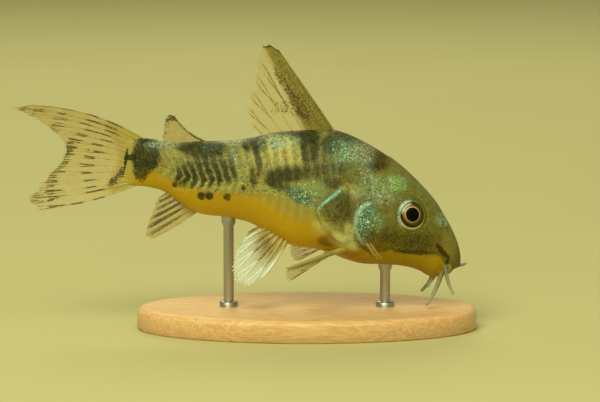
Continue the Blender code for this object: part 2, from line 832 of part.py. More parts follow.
def barbel(name, root, bend, tip, thick_root, thick_tip):
    """A feeler: a soft round rod that bends once and tapers to a blunt tip."""
    start, middle, end = place(*root), place(*bend), place(*tip)
    route, radii = [], []
    for step in range(BARBEL_STEPS + 1):
        share = step / BARBEL_STEPS
        route.append(start * (1 - share) ** 2 + middle * (2 * share * (1 - share)) + end * share**2)
        radii.append((thick_root + (thick_tip - thick_root) * share) * MM / 2)
    route.append(end + (end - route[-2]).normalized() * (thick_tip * 0.35 * MM))
    radii.append(thick_tip * 0.5 * MM / 2)
    return tube(name, route, radii, BARBEL_SIDES, FINISH["barbel"])


def make_base():
    """A flat oval plate with a rounded top edge."""
    levels = [(0.0, BASE_FOOT_INSET), (BASE_FOOT_INSET, 0.0), (BASE_THICK - BASE_EDGE, 0.0)]
    for step in range(1, 4):
        turn = math.pi / 2 * step / 3
        levels.append((BASE_THICK - BASE_EDGE * (1 - math.sin(turn)), BASE_EDGE * (1 - math.cos(turn))))
    turns = [2 * math.pi * index / BASE_POINTS for index in range(BASE_POINTS)]
    rings = []
    for height, inset in levels:
        half_x, half_y = BASE_HALF_LENGTH - inset, BASE_HALF_WIDTH - inset
        rings.append([Vector((half_x * math.cos(t), half_y * math.sin(t), height)) * MM for t in turns])
    return loft("stand_base", rings, FINISH["maple"])


def make_rods():
    made = []
    for name, back, top in zip(("front", "rear"), ROD_BACKS, ROD_TOPS):
        route = [place(back, GAP), place(back, top)]
        made.append(tube("stand_rod_" + name, route, [ROD_RADIUS * MM] * 2, 16, FINISH["steel"]))
    return made


clear_scene()
FINISH = {
    "skin": material("olive skin", OLIVE, 0.4),
    "fin": material("clear fin", FIN_STRAW, 0.4),
    "barbel": material("barbel", BARBEL_GREY, 0.4),
    "eye": material("eye", EYE_BLACK, 0.1),
    "maple": material("maple", MAPLE, 0.5),
    "steel": material("steel", STEEL, 0.3, 1.0),
}
make_head()
make_trunk()
make_tail()
make_eyes()
make_base()
whole_body = envelope()
for grown in make_fins() + [barbel(*sizes) for sizes in BARBELS] + make_rods():
    combine(grown, [whole_body], "DIFFERENCE")
remove([whole_body])
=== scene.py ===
"""Peppered corydoras catfish: the looks of a still, life-size model held over an oval base by two rods.

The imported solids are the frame. Places on the fish are in millimetres: "back" runs from the snout towards the
tail, "up" from the top of the base, and "out" from the middle of the fish towards its right side, or its left
where it is negative. The fish faces +X, and its right side faces -Y.
"""

import math

import bpy
import numpy as np
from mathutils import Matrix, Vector


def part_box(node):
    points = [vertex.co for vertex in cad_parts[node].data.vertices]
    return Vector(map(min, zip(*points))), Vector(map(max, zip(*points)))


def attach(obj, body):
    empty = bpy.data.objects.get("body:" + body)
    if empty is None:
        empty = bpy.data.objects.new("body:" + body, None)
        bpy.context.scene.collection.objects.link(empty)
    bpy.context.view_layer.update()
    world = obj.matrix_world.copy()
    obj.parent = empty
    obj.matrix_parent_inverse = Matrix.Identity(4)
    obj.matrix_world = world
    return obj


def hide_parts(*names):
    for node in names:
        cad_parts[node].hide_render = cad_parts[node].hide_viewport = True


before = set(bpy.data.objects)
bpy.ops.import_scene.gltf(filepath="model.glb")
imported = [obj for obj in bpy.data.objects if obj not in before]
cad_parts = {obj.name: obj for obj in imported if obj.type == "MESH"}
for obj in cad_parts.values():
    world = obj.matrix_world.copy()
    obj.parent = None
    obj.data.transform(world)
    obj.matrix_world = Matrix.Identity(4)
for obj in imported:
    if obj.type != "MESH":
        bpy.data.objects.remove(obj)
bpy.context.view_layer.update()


# The base is an oval plate of pale maple, 3 mm thick, sawn from one board with the grain along it. Its rim is
# rounded over, the edge of its underside is broken, and it is sanded smooth and oiled to a satin.

MM = 0.001
MAPLE_LIGHT = (222, 190, 146)
MAPLE_DARK = (196, 155, 106)
MAPLE_PORE = (158, 116, 74)
RIM_ROUND = 0.9
RIM_STEPS = 8
FOOT_BREAK = 0.25
BASE_POINTS = 160
# How far in the rings of the flat top lie from its rounding, and those of the underside from the rim
TOP_INSETS = (0.3, 1.5, 4.0, 7.0)
UNDERSIDE_INSETS = (8.0, 4.0, 1.0)


def colour(red, green, blue):
    """A colour for a socket, from the 0 to 255 that a screen shows."""
    shares = [value / 255 for value in (red, green, blue)]
    return (*(s / 12.92 if s <= 0.04045 else ((s + 0.055) / 1.055) ** 2.4 for s in shares), 1.0)


def plug_in(tree, node, inputs):
    """Links or sets the sockets of a node, by their names or numbers."""
    for key, value in inputs.items():
        if isinstance(value, Wire):
            tree.links.new(value.socket, node.inputs[key])
        else:
            node.inputs[key].default_value = value


class Wire:
    """An output in a node tree. Sums on it add their nodes, and node() adds a node of any other kind.

    Plain colours are given as red, green and blue from 0 to 255.
    """

    def __init__(self, tree, socket=None):
        self.tree = tree
        self.socket = socket

    def node(self, kind, settings=None, inputs=None, output=0):
        made = self.tree.nodes.new(kind)
        for name, value in (settings or {}).items():
            if name == "stops":
                for stop in value[len(made.color_ramp.elements) :]:
                    made.color_ramp.elements.new(stop[0])
                for element, (position, shade) in zip(made.color_ramp.elements, value):
                    element.position = position
                    element.color = shade
            else:
                setattr(made, name, value)
        plug_in(self.tree, made, inputs or {})
        return Wire(self.tree, made.outputs[output])

    def maths(self, operation, first, second):
        pair = (first, second)
        if all(not isinstance(one, Wire) or one.socket.type == "VALUE" for one in pair):
            return self.node("ShaderNodeMath", {"operation": operation}, dict(enumerate(pair)))
        pair = [one if isinstance(one, Wire) else (one,) * 3 for one in pair]
        return self.node("ShaderNodeVectorMath", {"operation": operation}, dict(enumerate(pair)))

    def __add__(self, other):
        return self.maths("ADD", self, other)

    def __radd__(self, other):
        return self.maths("ADD", other, self)

    def __sub__(self, other):
        return self.maths("SUBTRACT", self, other)

    def __rsub__(self, other):
        return self.maths("SUBTRACT", other, self)

    def __mul__(self, other):
        return self.maths("MULTIPLY", self, other)

    def __rmul__(self, other):
        return self.maths("MULTIPLY", other, self)

    def __pow__(self, other):
        return self.maths("POWER", self, other)

    def at_most(self, other):
        return self.maths("MINIMUM", self, other)

    def at_least(self, other):
        return self.maths("MAXIMUM", self, other)

    def between(self, low, high):
        return self.at_least(low).at_most(high)

    def sine(self):
        return self.node("ShaderNodeMath", {"operation": "SINE"}, {0: self})

    def ease(self, low, high):
        """0 at low, 1 at high, and smooth between them. Low may be the larger of the two."""
        settings = {"interpolation_type": "SMOOTHSTEP"}
        if low < high:
            return self.node("ShaderNodeMapRange", settings, {0: self, 1: low, 2: high})
        return 1.0 - self.node("ShaderNodeMapRange", settings, {0: self, 1: high, 2: low})

    def mix(self, none, full):
        """One colour where this value is 0 or less, and another where it is 1 or more."""
        none, full = (one if isinstance(one, Wire) else colour(*one) for one in (none, full))
        return self.node("ShaderNodeMix", {"data_type": "RGBA"}, {0: self, 6: none, 7: full}, 2)

    def ramp(self, *stops):
        """A run of colours, each with the value at which it is full."""
        stops = [(value, colour(*shade)) for value, shade in stops]
        return self.node("ShaderNodeValToRGB", {"stops": stops}, {0: self})

    def painted(self, name):
        """The value that is painted on the piece's points under a name."""
        return self.node("ShaderNodeAttribute", {"attribute_name": name}, output="Fac")

    def noise(self, scale, detail, rough=0.5, twist=0.0):
        """Noise at this place, with its scale in waves a millimetre."""
        inputs = {"Vector": self, "Scale": scale, "Detail": detail, "Roughness": rough, "Distortion": twist}
        return self.node("ShaderNodeTexNoise", inputs=inputs)

    def cells(self, scale, output="Distance"):
        """Cells here, so many a millimetre: the distance to the nearest middle, or a random colour."""
        return self.node("ShaderNodeTexVoronoi", inputs={"Vector": self, "Scale": scale}, output=output)

    def stretched(self, x, y, z):
        """This place with its axes scaled, for a pattern that is longer one way."""
        return self.node("ShaderNodeMapping", inputs={"Vector": self, "Scale": (x, y, z)})

    def bump(self, height, strength):
        """A normal raised by this value, at its full height in millimetres."""
        inputs = {"Height": self, "Distance": height * MM, "Strength": strength}
        return self.node("ShaderNodeBump", inputs=inputs)


def new_finish(name):
    """A material, its shader and the place on the piece in millimetres."""
    made = bpy.data.materials.new(name)
    made.use_nodes = True
    spot = Wire(made.node_tree).node("ShaderNodeTexCoord", output="Object") * (1 / MM)
    return made, made.node_tree.nodes["Principled BSDF"], spot


def dress(shader, **sockets):
    """Sets the shader's sockets, each named in lower case with _ for a space."""
    names = {name.lower().replace(" ", "_"): name for name in shader.inputs.keys()}
    plug_in(shader.id_data, shader, {names[key]: value for key, value in sockets.items()})


def add_object(name, data):
    """Puts a mesh, lamp or camera into the scene as an object."""
    made = bpy.data.objects.new(name, data)
    bpy.context.scene.collection.objects.link(made)
    return made


def paint_on(mesh, name, values):
    """Paints a value on each point of a mesh, under a name that its finish reads."""
    layer = mesh.attributes.new(name, "FLOAT", "POINT")
    layer.data.foreach_set("value", np.ascontiguousarray(values, dtype=np.float32).ravel())


def new_piece(name, points, faces, finish, painted=None):
    """A smooth mesh from points in metres, with its painted values."""
    mesh = bpy.data.meshes.new(name)
    mesh.from_pydata(np.asarray(points).tolist(), [], faces)
    mesh.materials.append(finish)
    mesh.shade_smooth()
    for attribute, values in (painted or {}).items():
        paint_on(mesh, attribute, values)
    return add_object(name, mesh)


def tube_faces(rings, count):
    """Faces of a tube of rings, each of so many points, closed by the middles of its first and last ring.

    These two points come after those of the rings.
    """
    row = np.arange(count)
    beside = (row + 1) % count
    step = np.arange(rings - 1)[:, None] * count
    quads = np.stack([step + row, step + beside, step + beside + count, step + row + count], -1)
    last, middle = (rings - 1) * count, rings * count
    pairs = list(zip(row.tolist(), beside.tolist()))
    ends = [(middle, b, a) for a, b in pairs] + [(middle + 1, last + a, last + b) for a, b in pairs]
    return quads.reshape(-1, 4).tolist() + ends


def maple():
    """Pale wood with streaks and fine pores along its length, under a little oil."""
    made, shader, spot = new_finish("oiled pale maple")
    along_grain = spot.stretched(0.10, 1.0, 1.0)
    growth = along_grain.noise(0.9, 3.0, 0.55, 0.6)
    streaks = along_grain.noise(7.0, 3.0, 0.6)
    pores = spot.stretched(0.25, 1.0, 1.0).noise(9.0, 2.0).ease(0.62, 0.72)
    bands = (growth * 42.0).sine()
    wood = (bands * 0.22 + streaks * 0.8).ramp((0.15, MAPLE_LIGHT), (0.85, MAPLE_DARK))
    dress(
        shader,
        base_color=(pores * 0.35).mix(wood, MAPLE_PORE),
        roughness=0.42 + streaks * 0.14,
        normal=(streaks * 0.5 - pores * 0.5).bump(0.02, 0.6),
        coat_weight=0.12,
        coat_roughness=0.3,
    )
    return made


def oval_rings():
    """(distance in from the rim, height) of each ring of the base, in millimetres, from below to the top."""
    levels = [(inset, 0.0) for inset in (*UNDERSIDE_INSETS, FOOT_BREAK)]
    levels += [(0.0, FOOT_BREAK), (0.0, base_height - RIM_ROUND)]
    for turn in np.arange(1, RIM_STEPS + 1) / RIM_STEPS * np.pi / 2:
        levels.append((RIM_ROUND * (1 - math.cos(turn)), base_height - RIM_ROUND * (1 - math.sin(turn))))
    return levels + [(RIM_ROUND + inset, base_height) for inset in TOP_INSETS]


base_low, base_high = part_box("stand_base")
base_height = (base_high.z - base_low.z) / MM
turns = np.linspace(0, 2 * np.pi, BASE_POINTS, endpoint=False)
rings = []
for inset, height in oval_rings():
    x, y = (base_high.x / MM - inset) * np.cos(turns), (base_high.y / MM - inset) * np.sin(turns)
    rings.append(np.stack([x, y, np.full_like(x, height)], -1))
points = np.concatenate([*rings, [[0.0, 0.0, 0.0], [0.0, 0.0, base_height]]])
base = new_piece("display_base", points * MM, tube_faces(len(rings), BASE_POINTS), maple())
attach(base, "root")
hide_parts("stand_base")


# The rods are drawn steel, 1.4 mm thick and brushed round. Each is pressed into the base through a turned
# collar, and its top sits in a small cup against the belly. One tree draws every rod, ray and feeler.

STEEL = (182, 184, 187)
STEEL_SCRATCH = (150, 152, 156)
COLLAR_RADIUS = 1.25
COLLAR_HEIGHT = 0.7
COLLAR_BEVEL = 0.15
CUP_RADIUS = 0.95
CUP_HEIGHT = 0.5
CUP_BELOW_BELLY = 0.3
INTO_BELLY = 0.75
INTO_BASE = 0.5
ROD_SIDES = 32


def rod_tree():
    """Nodes that draw a round rod along every line of edges, as thick as the attribute "thick" says."""
    tree = bpy.data.node_groups.new("round rod along a path", "GeometryNodeTree")
    for name, kind in (("Paths", "Geometry"), ("Sides", "Int"), ("Finish", "Material")):
        tree.interface.new_socket(name, in_out="INPUT", socket_type="NodeSocket" + kind)
    tree.interface.new_socket("Rods", in_out="OUTPUT", socket_type="NodeSocketGeometry")
    entry = tree.nodes.new("NodeGroupInput")
    paths, sides, finish = (Wire(tree, entry.outputs[i]) for i in range(3))
    thick = paths.node("GeometryNodeInputNamedAttribute", {"data_type": "FLOAT"}, {"Name": "thick"})
    curve = paths.node("GeometryNodeMeshToCurve", inputs={0: paths})
    ring = curve.node("GeometryNodeCurvePrimitiveCircle", inputs={"Resolution": sides, "Radius": 1.0})
    inputs = {"Curve": curve, "Profile Curve": ring, "Scale": thick, "Fill Caps": True}
    rods = curve.node("GeometryNodeCurveToMesh", inputs=inputs)
    rods = rods.node("GeometryNodeRealizeInstances", inputs={0: rods})
    rods = rods.node("GeometryNodeSetMaterial", inputs={"Geometry": rods, "Material": finish})
    plug_in(tree, tree.nodes.new("NodeGroupOutput"), {0: rods})
    return tree


def round_rods(name, routes, sides, finish):
    """One mesh of round rods. A route has "points" and "thick" radii in millimetres, and painted values."""
    edges, first = [], 0
    for route in routes:
        count = len(route["points"])
        edges += [(first + i, first + i + 1) for i in range(count - 1)]
        first += count
    mesh = bpy.data.meshes.new(name)
    mesh.from_pydata((np.concatenate([route["points"] for route in routes]) * MM).tolist(), edges, [])
    for attribute in [key for key in routes[0] if key != "points"]:
        scale = MM if attribute == "thick" else 1.0
        paint_on(mesh, attribute, np.concatenate([route[attribute] for route in routes]) * scale)
    made = add_object(name, mesh)
    modifier = made.modifiers.new("rods", "NODES")
    modifier.node_group = ROD_TREE
    sockets = {item.name: item.identifier for item in ROD_TREE.interface.items_tree}
    modifier[sockets["Sides"]] = sides
    modifier[sockets["Finish"]] = finish
    graph = bpy.context.evaluated_depsgraph_get()
    drawn = bpy.data.meshes.new_from_object(made.evaluated_get(graph))
    made.modifiers.clear()
    made.data = drawn
    drawn.shade_smooth()
    drawn.set_sharp_from_angle(angle=math.radians(50))
    return made


def brushed_steel():
    """Steel with fine scratches round the rod."""
    made, shader, spot = new_finish("brushed steel")
    scratches = spot.stretched(1.0, 1.0, 14.0).noise(6.0, 3.0, 0.6)
    dress(
        shader,
        base_color=(scratches * 0.5).mix(STEEL, STEEL_SCRATCH),
        metallic=1.0,
        roughness=0.24 + scratches * 0.2,
        normal=scratches.bump(0.01, 0.5),
    )
    return made


ROD_TREE = rod_tree()
steel = brushed_steel()
for node in ("stand_rod_front", "stand_rod_rear"):
    rod_low, rod_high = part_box(node)
    radius = (rod_high.x - rod_low.x) / 2 / MM
    middle = (rod_high.x + rod_low.x) / 2 / MM
    end = rod_high.z / MM
    collar = base_height + COLLAR_HEIGHT
    cup = end - CUP_BELOW_BELLY
    profile = (
        (base_height - INTO_BASE, COLLAR_RADIUS),
        (collar - COLLAR_BEVEL, COLLAR_RADIUS),
        (collar, COLLAR_RADIUS - COLLAR_BEVEL),
        (collar + 0.02, radius),
        (cup - CUP_HEIGHT, radius),
        (cup, CUP_RADIUS),
        (end + INTO_BELLY, CUP_RADIUS),
    )
    heights, radii = np.array(profile).T
    points = np.stack([np.full_like(heights, middle), np.zeros_like(heights), heights], -1)
    rod = round_rods(node.replace("stand_", "steel_"), [{"points": points, "thick": radii}], ROD_SIDES, steel)
    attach(rod, "root")
    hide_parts(node)


# The body is one skin from the snout to the root of the tail fin: wet and scaleless, drawn tight over the
# bones of the head and two rows of bony plates on each flank, and soft on the belly. It is cast in one piece
# round the eyes, then painted olive, dark-blotched and amber below, with a blue-green glitter of painted glints
# and sheen. Light is painted on as well: the amber is paler lower down as painted light from below, highlights
# are painted round the eye and on the upper rim of the shoulder plate, and shade is painted into the creases.

# Back line (back, up), belly line (back, up), half width, height of the widest point as a share of the depth,
# and roundness of the upper and of the lower half of the section
STATIONS = (
    ((0.00, 6.02), (0.68, 5.21), 0.45, 0.50, 2.00, 2.00),
    ((0.03, 7.10), (1.49, 4.74), 1.20, 0.48, 2.05, 2.10),
    ((0.47, 8.86), (2.70, 4.33), 2.00, 0.46, 2.10, 2.15),
    ((1.49, 11.15), (4.05, 4.13), 2.85, 0.44, 2.10, 2.30),
    ((3.24, 13.99), (5.80, 5.07), 3.65, 0.43, 2.10, 2.45),
    ((5.67, 16.82), (7.97, 5.68), 4.45, 0.42, 2.05, 2.60),
    ((8.50, 19.45), (10.67, 5.93), 5.20, 0.38, 2.00, 2.70),
    ((11.60, 21.60), (13.37, 6.09), 5.65, 0.34, 1.95, 2.80),
    ((15.00, 23.37), (15.66, 6.70), 5.80, 0.33, 1.85, 2.85),
    ((17.30, 24.04), (17.50, 7.44), 5.70, 0.33, 1.78, 2.85),
    ((19.70, 24.04), (19.70, 8.05), 5.45, 0.35, 1.78, 2.75),
    ((22.70, 23.90), (22.70, 8.45), 5.10, 0.38, 1.80, 2.60),
    ((25.40, 23.64), (25.40, 9.80), 4.70, 0.42, 1.85, 2.40),
    ((28.50, 22.90), (28.50, 11.50), 4.15, 0.44, 1.88, 2.20),
    ((31.90, 22.56), (31.90, 12.26), 3.60, 0.46, 1.90, 2.10),
    ((35.20, 22.50), (35.20, 12.70), 3.00, 0.48, 1.95, 2.00),
    ((37.30, 22.35), (37.30, 13.78), 2.65, 0.50, 2.00, 2.00),
    ((40.00, 22.50), (40.00, 15.67), 2.10, 0.50, 2.00, 2.00),
    ((42.40, 22.90), (42.40, 16.35), 1.55, 0.50, 2.00, 2.00),
    ((44.60, 22.72), (44.60, 16.55), 0.55, 0.50, 2.00, 2.00),
    ((45.50, 22.40), (45.50, 16.85), 0.07, 0.50, 2.00, 2.00),
)
SNOUT_X = 20.8
# How far behind the snout the gill opening crosses the throat, the side and the nape
GILL_THROAT, GILL_SIDE, GILL_NAPE = 11.6, 14.6, 15.7
HEAD_SLANT_FROM = 8.5
TRUNK_SLANT_FROM = 19.5
# How high on the depth the two rows of plates meet, and where they begin and end
SIDE_LINE = 0.52
FIRST_PLATE, LAST_PLATE = 15.3, 44.8
PLATES = 25
PLATE_NARROWS = 0.32
PLATE_RELIEF = 0.11
# How far along a plate and how high, as shares
PLATE_PROFILE = (
    (0.0, 0.0), (0.15, 0.25), (0.32, 0.55), (0.5, 0.8), (0.68, 0.95), (0.82, 1.0), (0.9, 0.85), (0.96, 0.3),
)
COLUMNS_LOW, COLUMNS_HIGH = 50, 62

# Rings of the head: distance behind the snout and the space between rings from there on
HEAD_SPACING = ((0.34, 0.06), (2.3, 0.09), (4.3, 0.066), (9.0, 0.11), (15.3, 0.12))

EYE_PLACE = (6.74, 13.10)
EYE_RADIUS = 1.60
EYE_SUNK = 0.16
ORBIT_RADIUS = 1.66


def ease(low, high, value):
    """0 below low, 1 above high, and smooth between them."""
    share = np.clip((value - low) / (high - low), 0.0, 1.0)
    return share * share * (3 - 2 * share)


def bell(distance, width):
    """1 at no distance, and falling smoothly to 0.02 at twice the width."""
    return np.exp(-((distance / width) ** 2))


ROWS = np.array([[(top[0] + low[0]) / 2, *top, *low, *shape] for top, low, *shape in STATIONS])
ALONG = ROWS[:, 0]
AFTER = np.minimum(np.arange(len(ROWS)) + 1, len(ROWS) - 1)
BEFORE = np.maximum(np.arange(len(ROWS)) - 1, 0)
SLOPES = (ROWS[AFTER] - ROWS[BEFORE]) / (ALONG[AFTER] - ALONG[BEFORE])[:, None]


def smooth_run(start, end, leaving, arriving, share):
    """A smooth curve from one value to the next, with the slopes at which it leaves and arrives."""
    square, cube = share**2, share**3
    between = start * (2 * cube - 3 * square + 1) + end * (3 * square - 2 * cube)
    return between + (leaving * (cube - 2 * square + share) + arriving * (cube - square))


def section(along):
    """The section's sizes at distances behind the snout, by a smooth curve through the stations."""
    here = np.clip(np.searchsorted(ALONG, along, side="right") - 1, 0, len(ROWS) - 2)
    span = (ALONG[here + 1] - ALONG[here])[..., None]
    share = (along - ALONG[here])[..., None] / span
    slopes = SLOPES[here] * span, SLOPES[here + 1] * span
    return np.moveaxis(smooth_run(ROWS[here], ROWS[here + 1], *slopes, share)[..., 1:], -1, 0)


def height_share(sizes, angle):
    """How far up the section's depth an angle lies, from 0 at the belly to 1 at the back."""
    widest, upper, lower = sizes[5:8]
    low = widest * (1 - np.cos(np.minimum(angle, np.pi / 2)).clip(0) ** (2 / lower))
    high = widest + (1 - widest) * (-np.cos(np.maximum(angle, np.pi / 2))).clip(0) ** (2 / upper)
    return np.where(angle < np.pi / 2, low, high)


def smooth_body(along, angle):
    """Back, up and out of the body without its relief. The angle is 0 at the belly and pi at the back."""
    sizes = section(along)
    back_top, up_top, back_low, up_low, half_width, _, upper, lower = sizes
    share = height_share(sizes, angle)
    out = half_width * np.sin(angle).clip(0) ** (2 / np.where(angle < np.pi / 2, lower, upper))
    return np.stack([back_low + (back_top - back_low) * share, up_low + (up_top - up_low) * share, out], -1)


def outward(along, angle):
    """The direction that points out of the smooth body."""
    step, turn = 0.05, 0.02
    near = np.clip(angle, 2 * turn, np.pi - 2 * turn)
    lengthwise = smooth_body(along + step, angle) - smooth_body(along - step, angle)
    roundwise = smooth_body(along, near + turn) - smooth_body(along, near - turn)
    normal = np.cross(lengthwise, roundwise)
    on_middle = (angle <= 0.0) | (angle >= np.pi)
    normal[..., 2] = np.where(on_middle, 0.0, normal[..., 2])
    normal /= np.linalg.norm(normal, axis=-1, keepdims=True)
    upwards = np.where(angle < np.pi / 2, -1.0, 1.0)
    inside_out = np.where(on_middle, normal[..., 1] * upwards, normal[..., 2]) < 0
    return np.where(inside_out[..., None], -normal, normal)


def slant(along, share):
    """How far a ring leans back at a height, so that its rings follow the gill opening and the plates."""
    bulge = GILL_SIDE - (GILL_THROAT + GILL_NAPE) / 2
    gill = GILL_THROAT + (GILL_NAPE - GILL_THROAT) * share + bulge * 4 * share * (1 - share) - GILL_SIDE
    amount = (1.0 + 1.3 * ease(20.0, 40.0, along)) * (1 - ease(LAST_PLATE - 4.5, LAST_PLATE, along))
    chevron = amount * (np.abs(share - SIDE_LINE) * 2 - 0.5)
    blend = ease(GILL_SIDE, TRUNK_SLANT_FROM, along)
    on_head, behind = gill * ease(HEAD_SLANT_FROM, GILL_SIDE, along), gill * (1 - blend) + chevron * blend
    return np.where(along < GILL_SIDE, on_head, behind)


def to_world(places):
    """Points in metres of places given as back, up and out in millimetres."""
    back, up, out = np.moveaxis(np.asarray(places, float), -1, 0)
    return np.stack([SNOUT_X - back, -out, base_height + up], -1) * MM


def on_flank(back, up):
    """(along, angle) of the skin at a place in the side view."""
    low, high = ALONG[0], ALONG[-1]
    for _ in range(40):
        middle = np.array((low + high) / 2)
        back_top, up_top, back_low, up_low = section(middle)[:4]
        ahead = (back_top - back_low) * (up - up_low) - (up_top - up_low) * (back - back_low)
        low, high = (low, middle) if ahead > 0 else (middle, high)
    sizes = section(middle)
    back_top, up_top, back_low, up_low = sizes[:4]
    share = ((back - back_low) * (back_top - back_low) + (up - up_low) * (up_top - up_low)) / (
        (back_top - back_low) ** 2 + (up_top - up_low) ** 2
    )
    angles = np.linspace(0, np.pi, 721)
    return middle, np.interp(share, height_share(sizes, angles), angles)


def rounded(corners, count):
    """A smooth closed outline through a few corners, as (back, up) pairs."""
    corners = np.array(corners, float)
    where = np.arange(count) / count * len(corners)
    here = where.astype(int)
    share = (where - here)[:, None]
    before, start, end, after = (corners[(here + shift) % len(corners)] for shift in (-1, 0, 1, 2))
    return smooth_run(start, end, (end - before) / 2, (after - start) / 2, share)


def to_line(back, up, route, closed=False):
    """(distance to a line of points, how far along it as a share, whether inside it if it is closed)."""
    route = np.asarray(route, float)
    starts, ends = route, np.roll(route, -1, 0)
    if not closed:
        starts, ends = route[:-1], route[1:]
    nearest, reached = np.full(back.shape, np.inf), np.zeros(back.shape)
    inside = np.zeros(back.shape, bool)
    lengths = np.linalg.norm(ends - starts, axis=1)
    run = np.concatenate([[0.0], np.cumsum(lengths)])
    for (x0, y0), (x1, y1), length, begun in zip(starts, ends, lengths, run):
        part = (((back - x0) * (x1 - x0) + (up - y0) * (y1 - y0)) / length**2).clip(0, 1)
        distance = np.hypot(back - x0 - part * (x1 - x0), up - y0 - part * (y1 - y0))
        closer = distance < nearest
        nearest = np.where(closer, distance, nearest)
        reached = np.where(closer, (begun + part * length) / run[-1], reached)
        if y0 != y1:
            inside ^= ((y0 > up) != (y1 > up)) & (back < (x1 - x0) * (up - y0) / (y1 - y0) + x0)
    return nearest, reached, inside


def depth_inside(back, up, outline):
    """Distance in from a closed outline, negative outside it."""
    distance, _, inside = to_line(back, up, outline, closed=True)
    return np.where(inside, distance, -distance)


def plate_edges():
    """The front edge of each plate and the last one's rear edge. Plates narrow towards the tail."""
    widths = 1 + PLATE_NARROWS * (0.5 - np.arange(PLATES) / (PLATES - 1))
    edges = np.concatenate([[0.0], np.cumsum(widths)])
    return FIRST_PLATE + edges * (LAST_PLATE - FIRST_PLATE) / edges[-1]


def ring_places():
    """(distance behind the snout, share of its plate) of every ring, or -1 where there are no plates."""
    alongs = []
    for (start, space), (end, _) in zip(HEAD_SPACING, HEAD_SPACING[1:]):
        alongs += list(np.linspace(start, end, round((end - start) / space), endpoint=False))
    places = [(along, -1.0) for along in alongs]
    edges = plate_edges()
    for front, rear in zip(edges, edges[1:]):
        places += [(front + (rear - front) * phase, phase) for phase, _ in PLATE_PROFILE]
    return np.array(places + [(along, -1.0) for along in np.linspace(LAST_PLATE, ALONG[-1], 9)])


def column_angles(alongs):
    """Angles of each ring's points: even along the skin, closer on the flanks, one on the side line."""
    fine = np.linspace(0, np.pi, 361)
    sizes = section(alongs)[..., None]
    shares = height_share(sizes, fine[None, :])
    points = smooth_body(alongs[:, None] + 0 * fine, fine[None, :] + 0 * alongs[:, None])
    steps = np.linalg.norm(np.diff(points, axis=1), axis=-1)
    steps *= 0.55 + bell((shares[:, 1:] + shares[:, :-1]) / 2 - 0.56, 0.3)
    angles = []
    for share, step in zip(shares, steps):
        run = np.concatenate([[0.0], np.cumsum(step)])
        side = np.interp(SIDE_LINE, share, run)
        low = np.linspace(0, side, COLUMNS_LOW, endpoint=False)
        high = np.linspace(side, run[-1], COLUMNS_HIGH + 1)
        angles.append(np.interp(np.concatenate([low, high]), run, fine))
    return np.array(angles)


RINGS = ring_places()
ANGLES = column_angles(RINGS[:, 0])
NOMINAL = RINGS[:, :1] + 0 * ANGLES
SHARE = height_share(section(NOMINAL), ANGLES)
REAL_ALONG = NOMINAL + slant(NOMINAL, SHARE)
BODY = smooth_body(REAL_ALONG, ANGLES)
OUTWARD = outward(REAL_ALONG, ANGLES)
BACK, UP = BODY[..., 0], BODY[..., 1]
PHASE = RINGS[:, 1:] + 0 * ANGLES

# Bones that show through the skin, as rounded outlines through (back, up) corners
GILL_COVER = (
    (9.3, 14.3), (12.1, 15.0), (13.9, 14.0), (14.5, 11.7), (13.5, 9.3), (11.5, 7.6), (9.3, 8.9), (8.8, 11.6),
)
SHOULDER_PLATE = (
    (15.5, 17.0), (17.4, 15.9), (19.5, 13.9), (18.2, 11.2), (16.4, 9.6), (15.2, 9.9), (15.3, 13.0),
)
# The lower edge of the cheek, two pale folds under the gill cover and the upper edge of the amber belly
CHEEK_EDGE = ((2.4, 6.9), (3.4, 7.7), (5.5, 7.7), (8.2, 8.05), (9.4, 8.6), (10.2, 8.9))
GILL_STREAKS = (((12.9, 9.6), (11.3, 7.1)), ((12.3, 9.4), (10.9, 7.3)))
AMBER_EDGE = (
    (0.6, 3.0), (2.0, 5.6), (2.8, 7.2), (3.4, 7.65), (5.5, 7.65), (8.2, 8.0), (9.6, 8.6), (11.2, 8.3),
    (12.8, 8.4), (14.3, 9.0), (16.6, 10.3), (18.7, 11.5), (20.0, 13.8), (23.4, 15.4), (26.4, 16.1),
    (28.5, 16.1), (33.9, 16.1), (37.0, 17.1), (41.7, 19.0), (44.5, 18.7), (46.5, 17.8),
)
BONE_STEP = 0.24
GILL_CROWN = 0.12
CHEEK_STEP = 0.10
ORBIT_DEPTH, ORBIT_WALL = 1.1, 0.18
# The two nostrils of a side: back, up and radius
NOSTRILS = ((2.40, 11.55, 0.26), (1.95, 10.85, 0.18))
# Ridges and, where negative, grooves: how high, how far from the line that they follow, and how wide
SIDE_GROOVE = ((-0.05, 0.0, 0.018),)
SHOULDER_RIDGE = ((0.06, 0.2, 0.14),)
GILL_SLIT = ((-0.16, -0.16, 0.15),)
LID_FOLDS = ((0.10, 1.80, 0.14), (-0.09, 2.14, 0.16), (0.05, 2.60, 0.30))
NOSTRIL_RING = ((-0.42, 0.0, 0.7), (0.12, 1.5, 0.5))
LIPS = ((0.24, -0.42, 0.22), (0.26, 0.48, 0.24), (-0.34, 0.0, 0.10))
MOUTH_ALONG, MOUTH_TURN, MOUTH_BEND = 1.25, 0.85, 0.30


def eye_frame():
    """The place of the right eye's middle, and its axis, in back, up and out."""
    along, angle = on_flank(*EYE_PLACE)
    along, angle = np.array([along]), np.array([angle])
    axis = outward(along, angle)[0]
    return smooth_body(along, angle)[0] - axis * EYE_SUNK, axis


def ridges(distance, rows):
    """The height of ridges and grooves at a distance from the line that they follow."""
    return sum(height * bell(distance - place, width) for height, place, width in rows)


